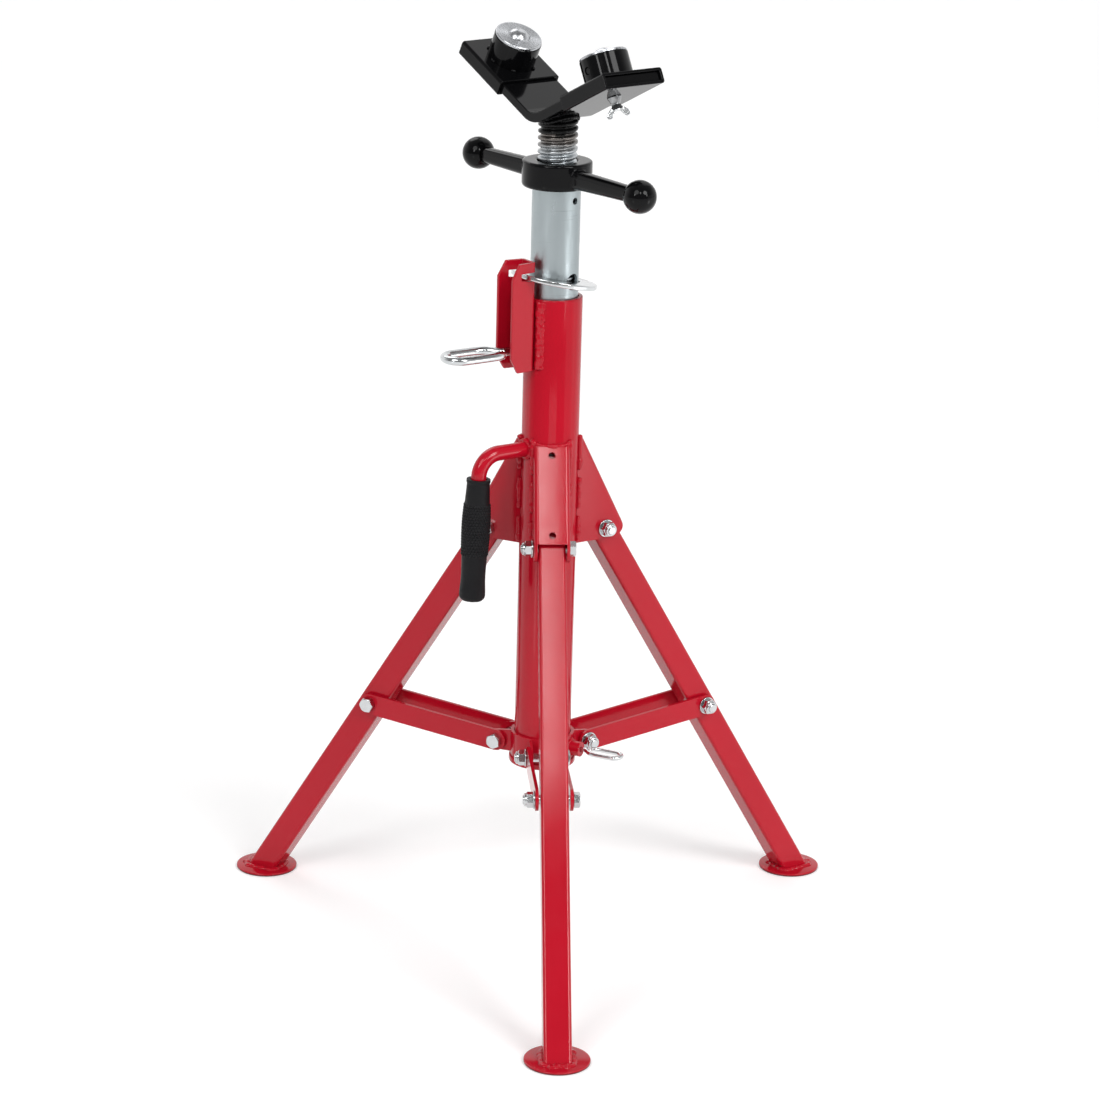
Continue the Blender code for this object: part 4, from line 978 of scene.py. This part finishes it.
def make_handle():
    side = station(LOCK_AZIMUTH)
    lean = radians(HANDLE_LEAN)
    bend = arc((HANDLE_REACH - HANDLE_BEND, HANDLE_Z - HANDLE_BEND), HANDLE_BEND, 90, HANDLE_LEAN, 24)
    low = GRIP_TOP_Z - GRIP_LENGTH + 0.0053
    foot_x = bend[-1][0] + (bend[-1][1] - low) * tan(lean)
    path = [(COLUMN_R * 0.7, 0.0, HANDLE_Z)] + [(x, 0.0, z) for x, z in bend] + [(foot_x, 0.0, low)]
    tool_low, tool_high = 0.3, 0.7
    rod = cut(swept(path, HANDLE_ROD_R, 40), cylinder(COLUMN_R + GAP, tool_low, tool_high, FINE))
    node_form("carry_handle", moved(rod, side), "column", RED)

    ring = saddle(HANDLE_ROD_R + 0.0006, COLUMN_R, HANDLE_Z, out=0.0008, count=48)
    weld = blended(bead(ring, 0.0030, seed=31.0, closed_path=True, stride=1.8, wavy=0.14, lumpy=0.34))
    piece("handle_weld", moved(weld, side), "column", RED, sharp=WELD_SHARP)

    top_x = bend[-1][0] + (bend[-1][1] - GRIP_TOP_Z) * tan(lean)
    place = side @ shift(top_x, 0.0, GRIP_TOP_Z) @ about_y(-lean)
    node_form("handle_grip", moved(grip_form(), place), "column", RUBBER, sharp=50.0)


def grip_form():
    """A moulded grip: lip, swelling with rows of raised dots, waist and bulb."""
    rising = (GRIP_NECK_R + GRIP_SWELL_R) / 2
    falling = (GRIP_SWELL_R + GRIP_WAIST_R) / 2
    shape = (
        (0.0, GRIP_LIP_R), (0.023, GRIP_LIP_R), (0.045, GRIP_NECK_R), (0.19, rising),
        (0.33, GRIP_SWELL_R), (0.46, GRIP_SWELL_R), (0.61, falling), (0.81, GRIP_WAIST_R),
        (0.93, GRIP_BULB_R), (0.975, GRIP_BULB_R * 0.985), (1.0, GRIP_TIP_R),
    )
    line = smooth_path([(share * GRIP_LENGTH, radius, 0.0) for share, radius in shape], 14)
    sides = 168
    steps = 260
    row = 0.0031
    lanes = 28
    dot_height = 0.0011
    band = (0.026, 0.026 + 18 * row)
    bm = bmesh.new()
    rings = []
    for depth in [GRIP_LENGTH * i / steps for i in range(steps + 1)]:
        plain = radius_on(line, depth)
        ring = []
        for a in round_angles(sides):
            radius = plain
            if band[0] < depth < band[1]:
                lane = (depth - band[0]) / row
                around = a / (2 * pi) * lanes + (0.5 if int(lane) % 2 else 0.0)
                apart = hypot((around % 1.0 - 0.5) * 2.2, (lane % 1.0 - 0.5) * 2.0)
                radius += dot_height * max(0.0, 1.0 - apart ** 2) ** 0.6
            ring.append(bm.verts.new((radius * cos(a), radius * sin(a), -depth)))
        rings.append(ring)
    for upper, lower in zip(rings, rings[1:]):
        skin(bm, upper, lower)
    fan(bm, rings[-1], bm.verts.new((0.0, 0.0, -GRIP_LENGTH)))
    # A short bore round the rod
    narrow, bore_depth = 0.70, 0.004
    bore = [bm.verts.new((v.co.x * narrow, v.co.y * narrow, 0.0)) for v in rings[0]]
    floor = [bm.verts.new((v.co.x, v.co.y, -bore_depth)) for v in bore]
    skin(bm, rings[0], bore)
    skin(bm, bore, floor)
    fan(bm, floor, bm.verts.new((0.0, 0.0, -bore_depth)))
    return closed_mesh(bm)


def radius_on(line, depth):
    """The radius at a depth on a line of (depth, radius) points."""
    for a, b in zip(line, line[1:]):
        if a.x <= depth <= b.x and b.x > a.x:
            return a.y + (b.y - a.y) * (depth - a.x) / (b.x - a.x)
    return line[-1].y


# Fasteners
def chamfered_hex(low, high, top_edge, bottom_edge):
    """A hexagonal head whose corners are turned off at one or both ends."""
    corner = BOLT_ACROSS_FLATS / sqrt(3)
    flat = BOLT_ACROSS_FLATS / 2 * 0.96
    chamfer = 0.0012
    profile = [(0.0, low)]
    profile += [(flat, low), (corner, low + chamfer)] if bottom_edge else [(corner, low)]
    profile += [(corner, high - chamfer), (flat, high)] if top_edge else [(corner, high)]
    profile += [(0.0, high)]
    hexagon = arc((0.0, 0.0), corner, 0, 300, 5)
    return combined(prism(hexagon, low, high), turned(profile, 48), "INTERSECT")


def washer_form(low):
    edge = 0.0004
    high = low + WASHER_THICKNESS
    profile = [(BOLT_R, low), (WASHER_R - edge, low), (WASHER_R, low + edge), (WASHER_R, high - edge)]
    return turned(profile + [(WASHER_R - edge, high), (BOLT_R, high)], 48)


def head_form(seat):
    """A hexagonal head on its thin washer face. It faces +Z."""
    face_r = BOLT_ACROSS_FLATS * 0.48
    face_top = seat + 0.0004
    face = cylinder(face_r, seat, face_top, 72)
    return merged(face, chamfered_hex(face_top, seat + BOLT_HEAD_HEIGHT, True, False))


def nut_form(seat):
    """A lock nut on its washer, with the bolt's end standing through it. It faces -Z."""
    base = seat - WASHER_THICKNESS
    end = base - NUT_HEIGHT
    collar_r = BOLT_ACROSS_FLATS * 0.47
    skirt = 0.0010
    bulge = 0.0016
    collar = [(BOLT_R, end + skirt), (collar_r, end + skirt), (collar_r, end - skirt)]
    collar += arc((collar_r - bulge, end - skirt), bulge, 0, -90, 6) + [(BOLT_R, end - skirt - bulge)]
    tip = end - 0.0038
    stub_r = BOLT_R * 0.97
    stub = [(0.0, tip), (BOLT_R * 0.80, tip), (stub_r, tip + 0.0006), (stub_r, end), (0.0, end)]
    hexes = chamfered_hex(end, base, False, True)
    return merged(washer_form(base), hexes, turned(collar, 48), turned(stub, BOLT_SIDES))


def make_fasteners():
    spots = (
        ("leg_pivot_bolt", "column", LEG_PIVOT_RADIUS, LEG_PIVOT_Z, BRACKET_OUTER),
        ("collar_bolt", "collar_body", COLLAR_PIVOT[0], COLLAR_PIVOT[1], STRAP_OUTER),
    )
    overlap = 0.001
    for name, azimuth in LEG_AZIMUTHS.items():
        side = station(azimuth)
        for part, body, out, height, half in spots:
            # Each bolt is left at another turn by the spanner
            turn = about_z(radians(azimuth * 0.3 + out * 900.0))
            seat = half + GAP
            shank = cylinder(BOLT_R, -seat, seat, BOLT_SIDES)
            form = merged(shank, head_form(seat), nut_form(-seat))
            form = moved(form, side @ shift(out, 0.0, height) @ ALONG_Y @ turn)
            node_form(name + "_" + part, form, body, BOLT, BOLT_EDGE, BOLT_SHARP)
        seat = STRAP_OUTER + GAP
        place = side @ shift(STRAP_PIVOT[0], 0.0, STRAP_PIVOT[1]) @ ALONG_Y
        head = merged(cylinder(BOLT_R, STRAP_INNER, seat + overlap, BOLT_SIDES), head_form(seat))
        nut = merged(cylinder(BOLT_R, -seat - overlap, -STRAP_INNER, BOLT_SIDES), nut_form(-seat))
        for part, form in (("_strap_bolt_head", head), ("_strap_bolt_nut", nut)):
            node_form(name + part, moved(form, place), name + "_straps", BOLT, BOLT_EDGE, BOLT_SHARP)
        reach = STRAP_INNER - GAP
        pivot = moved(cylinder(BOLT_R, -reach, reach, BOLT_SIDES), place)
        node_form(name + "_strap_pivot", pivot, name + "_leg_body", BRIGHT)


def leg_form():
    """A square tube that hangs along -Z from its pivot, cut off along the foot."""
    below = (LEG_PIVOT_Z - FOOT_THICKNESS) / cos(LEG_TILT) + LEG_WIDTH
    tube = prism(rounded_rectangle(LEG_WIDTH, LEG_WIDTH, LEG_CORNER), -below, LEG_TOP_EXTRA)
    bore_width = LEG_WIDTH - 2 * LEG_WALL
    bore = prism(rounded_rectangle(bore_width, bore_width, LEG_CORNER - LEG_WALL, 4), -2 * below, below)
    floor = prism([(-below, -below), (below, -below), (below, below), (-below, below)], -below, 0.0)
    drop = (LEG_PIVOT_Z - FOOT_THICKNESS - GAP) / cos(LEG_TILT)
    floor = moved(floor, lift(-drop) @ about_y(LEG_TILT))
    leg = cut(tube, bore, floor)
    for z in (0.0, -LEG_TO_STRAP_PIVOT):
        hole = cylinder(BOLT_R + GAP, -LEG_WIDTH, LEG_WIDTH, BOLT_SIDES)
        leg = cut(leg, moved(hole, lift(z) @ ALONG_Y))
    return leg


def foot_weld(k):
    """The weld round a leg's slanting end, with a puddle in front of it. It is flatter than round."""
    long = LEG_WIDTH / cos(LEG_TILT)
    spare = 0.003
    outline = rounded_rectangle(long + spare, LEG_WIDTH + spare, 0.005, 5)
    ring = [(x, y, 0.0) for x, y in outline]
    ring = bead(ring, 0.0040, seed=40.0 + k, closed_path=True, stride=2.2, wavy=0.14, lumpy=0.44)
    front = long / 2 + 0.0046
    puddle = [(front + 0.0012 * sin(i * 1.7), -0.011 + 0.0045 * i, 0.0) for i in range(6)]
    puddle = bead(puddle, 0.0038, seed=46.0 + k, stride=2.4, wavy=0.16, lumpy=0.50)
    return moved(blended(ring, puddle), Matrix.Diagonal((1.0, 1.0, 0.70, 1.0)))


def bracket_welds(k):
    """Welds down both sides of a leg bracket, in runs by height, and over its top."""
    runs = ((0.0015, 0.030), (0.038, 0.072), (0.080, 0.1185))
    out = sqrt(COLUMN_R ** 2 - BRACKET_OUTER ** 2) + 0.0012
    across = BRACKET_OUTER + 0.0006
    beads = []
    for sign in (1.0, -1.0):
        for low, high in runs:
            heights = [BRACKET_LOW_Z + low + (high - low) * i / 8 for i in range(9)]
            path = [(out, sign * across, z) for z in heights]
            seed = 50.0 + k * 7 + sign + low * 100
            beads.append(bead(path, 0.0032, seed, stride=2.0, wavy=0.12, lumpy=0.42))
    reach = degrees(asin(BRACKET_OUTER / COLUMN_R))
    top = []
    for x, y in arc((0.0, 0.0), COLUMN_R + 0.0008, -reach, reach, 16):
        top.append((x, y, BRACKET_TOP[1] + (BRACKET_TOP[0] - x) * BRACKET_TOP_SLOPE))
    beads.append(bead(top, 0.0026, seed=60.0 + k, stride=1.5, wavy=0.16, lumpy=0.30))
    return blended(*beads)


def make_legs():
    edge = 0.0009
    disc = [(0.0, 0.0), (FOOT_R - edge / 2, 0.0), (FOOT_R, edge / 2), (FOOT_R, FOOT_THICKNESS - edge)]
    disc += arc((FOOT_R - edge, FOOT_THICKNESS - edge), edge, 0, 90, 4)[1:] + [(0.0, FOOT_THICKNESS)]
    for k, (name, azimuth) in enumerate(LEG_AZIMUTHS.items()):
        side = station(azimuth)
        body = name + "_leg_body"
        dressed(name + "_leg_bracket", "column", PLATE_EDGE)
        swing = side @ shift(LEG_PIVOT_RADIUS, 0.0, LEG_PIVOT_Z) @ about_y(-LEG_TILT)
        node_form(name + "_leg", moved(leg_form(), swing), body, RED, bevel=0.0003)
        for half in ("_strap_a", "_strap_b"):
            dressed(name + half, name + "_straps", STRAP_EDGE)
        foot = moved(turned(disc), side @ shift(FOOT_RADIUS, 0.0, 0.0))
        node_form(name + "_foot", foot, body, FOOT_RED_SHADOWED)
        weld = moved(foot_weld(k), side @ shift(FOOT_RADIUS, 0.0, FOOT_THICKNESS))
        piece(name + "_foot_weld", weld, body, RED, sharp=WELD_SHARP)
        weld = moved(bracket_welds(k), side)
        piece(name + "_bracket_welds", weld, "column", RED, sharp=WELD_SHARP)


def make_collar():
    dressed("collar", "collar_body", STRAP_EDGE)
    dressed("collar_pin_boss", "collar_body", STRAP_EDGE)
    side = station(COLLAR_PIN_AZIMUTH)
    ring = saddle(PIN_BOSS_R + 0.0004, COLLAR_R, COLLAR_PIN_Z, out=0.0006, count=40)
    weld = bead(ring, 0.0017, seed=71.0, closed_path=True)
    piece("boss_weld", moved(weld, side), "collar_body", RED, sharp=WELD_SHARP)
    route = loop_points(COLUMN_R + GAP, 0.0535, 0.0955, half_width=0.0085, rod=COLLAR_PIN_R * 2)
    pin = moved(swept(route, COLLAR_PIN_R, 20), side @ lift(COLLAR_PIN_Z))
    node_form("collar_pin", pin, "collar_pin_body", BRIGHT)


# Stage
WHITE = (1.0, 1.0, 1.0)
AMBIENT = 0.42
FRONT_DIM = 0.20
FLOOR_SIZE = 30.0
FLOOR_DROP = 0.0004
FLOOR_GLOW = 0.20


def background_rays(tree):
    """One for rays that show the background: to the camera, in reflections and through glass."""
    path = added(tree, "LightPath", {})
    seen = path["Is Camera Ray"]
    for name in ("Is Glossy Ray", "Is Transmission Ray"):
        seen = maths("MAXIMUM", seen, path[name])
    return seen


def make_world():
    world = bpy.data.worlds.new("studio")
    world.use_nodes = True
    bpy.context.scene.world = world
    tree = world.node_tree
    # Plain light from all round. Rays that show it get a white low backdrop behind and a dim room in front.
    height = coordinate(tree, "Generated", "Z")
    low = ranged(height, 1.0 - AMBIENT + FRONT_DIM, FRONT_DIM, 0.40, 0.60)
    behind = ranged(coordinate(tree, "Generated", "Y"), 0.0, 1.0, -0.3, 0.3)
    more = maths("MULTIPLY_ADD", behind, low, -FRONT_DIM)
    shown = maths("MULTIPLY_ADD", background_rays(tree), more, AMBIENT)
    # The camera itself sees white all round
    white = maths("MAXIMUM", shown, added(tree, "LightPath", {})["Is Camera Ray"])
    feed(tree.nodes["Background"], {"Color": WHITE, "Strength": white})


def make_floor():
    bpy.ops.mesh.primitive_plane_add(size=FLOOR_SIZE, location=(0.0, 0.0, -FLOOR_DROP))
    floor = bpy.context.object
    floor.name = "floor"
    material, tree, shader = new_material("floor", (0.85, 0.85, 0.85), 0.9, 0.0)
    glow = ranged(background_rays(tree), 0.0, FLOOR_GLOW, 0.0, 1.0)
    feed(shader, {"Specular IOR Level": 0.0, "Emission Color": WHITE, "Emission Strength": glow})
    floor.data.materials.append(material)


def make_lamps():
    # Broad even light on stand and floor, by azimuth, elevation, spread and strength
    suns = (
        ("key", -52.0, 36.0, 25.0, 1.34),
        ("fill", -125.0, 40.0, 30.0, 0.8),
        ("back", 112.0, 45.0, 30.0, 0.5),
    )
    for name, azimuth, elevation, spread, strength in suns:
        lamp = bpy.data.lights.new(name, "SUN")
        lamp.angle = radians(spread)
        lamp.energy = strength
        item = placed(name, lamp)
        item.rotation_euler = (0.0, radians(90.0 - elevation), radians(azimuth))

    # Soft boxes that the gloss paint and the metal reflect, by place, aim, width, height and brightness
    head = (0.0, STAND_Y, 0.7)
    boxes = (
        ("left_box", (-1.9, -2.2, 2.0), head, 0.35, 0.70, 11.0),
        ("right_box", (2.1, -2.0, 1.8), head, 0.35, 0.70, 9.0),
        ("back_box", (0.92, 1.50, 2.96), head, 1.6, 1.6, 0.9),
        ("front_strip", (0.05, -1.82, 2.20), (0.0, -0.05, 0.35), 0.26, 0.50, 12.0),
        ("right_strip", (1.26, -0.66, 0.24), (0.0, STAND_Y, 0.24), 0.30, 0.44, 2.6),
        ("left_strip", (-1.04, -0.92, 0.24), (0.0, STAND_Y, 0.24), 0.16, 0.44, 1.3),
        ("right_wall", (1.65, -0.45, 0.62), (0.0, STAND_Y, 0.62), 1.4, 1.2, 0.5),
    )
    for name, spot, aim, width, height, brightness in boxes:
        lamp = bpy.data.lights.new(name, "AREA")
        lamp.shape = "RECTANGLE"
        lamp.size = width
        lamp.size_y = height
        lamp.energy = brightness * pi * width * height
        item = placed(name, lamp)
        item.location = spot
        item.rotation_euler = (Vector(aim) - Vector(spot)).to_track_quat("-Z", "Y").to_euler()
        item.visible_camera = False


def make_camera():
    a = radians(-90.0 + CAMERA_TURN)
    spot = Vector((CAMERA_DISTANCE * cos(a), CAMERA_DISTANCE * sin(a) + STAND_Y, CAMERA_HEIGHT))
    heading = a + pi + radians(CAMERA_YAW)
    pitch = radians(CAMERA_PITCH)
    level = cos(pitch)
    forward = Vector((cos(heading) * level, sin(heading) * level, sin(pitch)))
    right = forward.cross(Vector((0.0, 0.0, 1.0))).normalized()
    up = right.cross(forward)
    roll = radians(CAMERA_ROLL)
    across = right * cos(roll) + up * sin(roll)
    upward = up * cos(roll) - right * sin(roll)
    lens = bpy.data.cameras.new("photo_camera")
    lens.sensor_fit = "HORIZONTAL"
    lens.sensor_width = SENSOR_MM
    lens.lens = CAMERA_FOCAL_PIXELS / PHOTO_PIXELS * SENSOR_MM
    lens.clip_end = 50.0
    camera = placed("photo_camera", lens)
    axes = Matrix((across, upward, -forward)).transposed().to_4x4()
    camera.matrix_world = shift(*spot) @ axes
    bpy.context.scene.camera = camera


bpy.context.scene.view_settings.view_transform = "Standard"
make_camera()
make_world()
make_floor()
make_lamps()
make_column()
make_inner_tube()
make_jack_nut()
make_head()
make_lock()
make_handle()
make_legs()
make_collar()
make_fasteners()
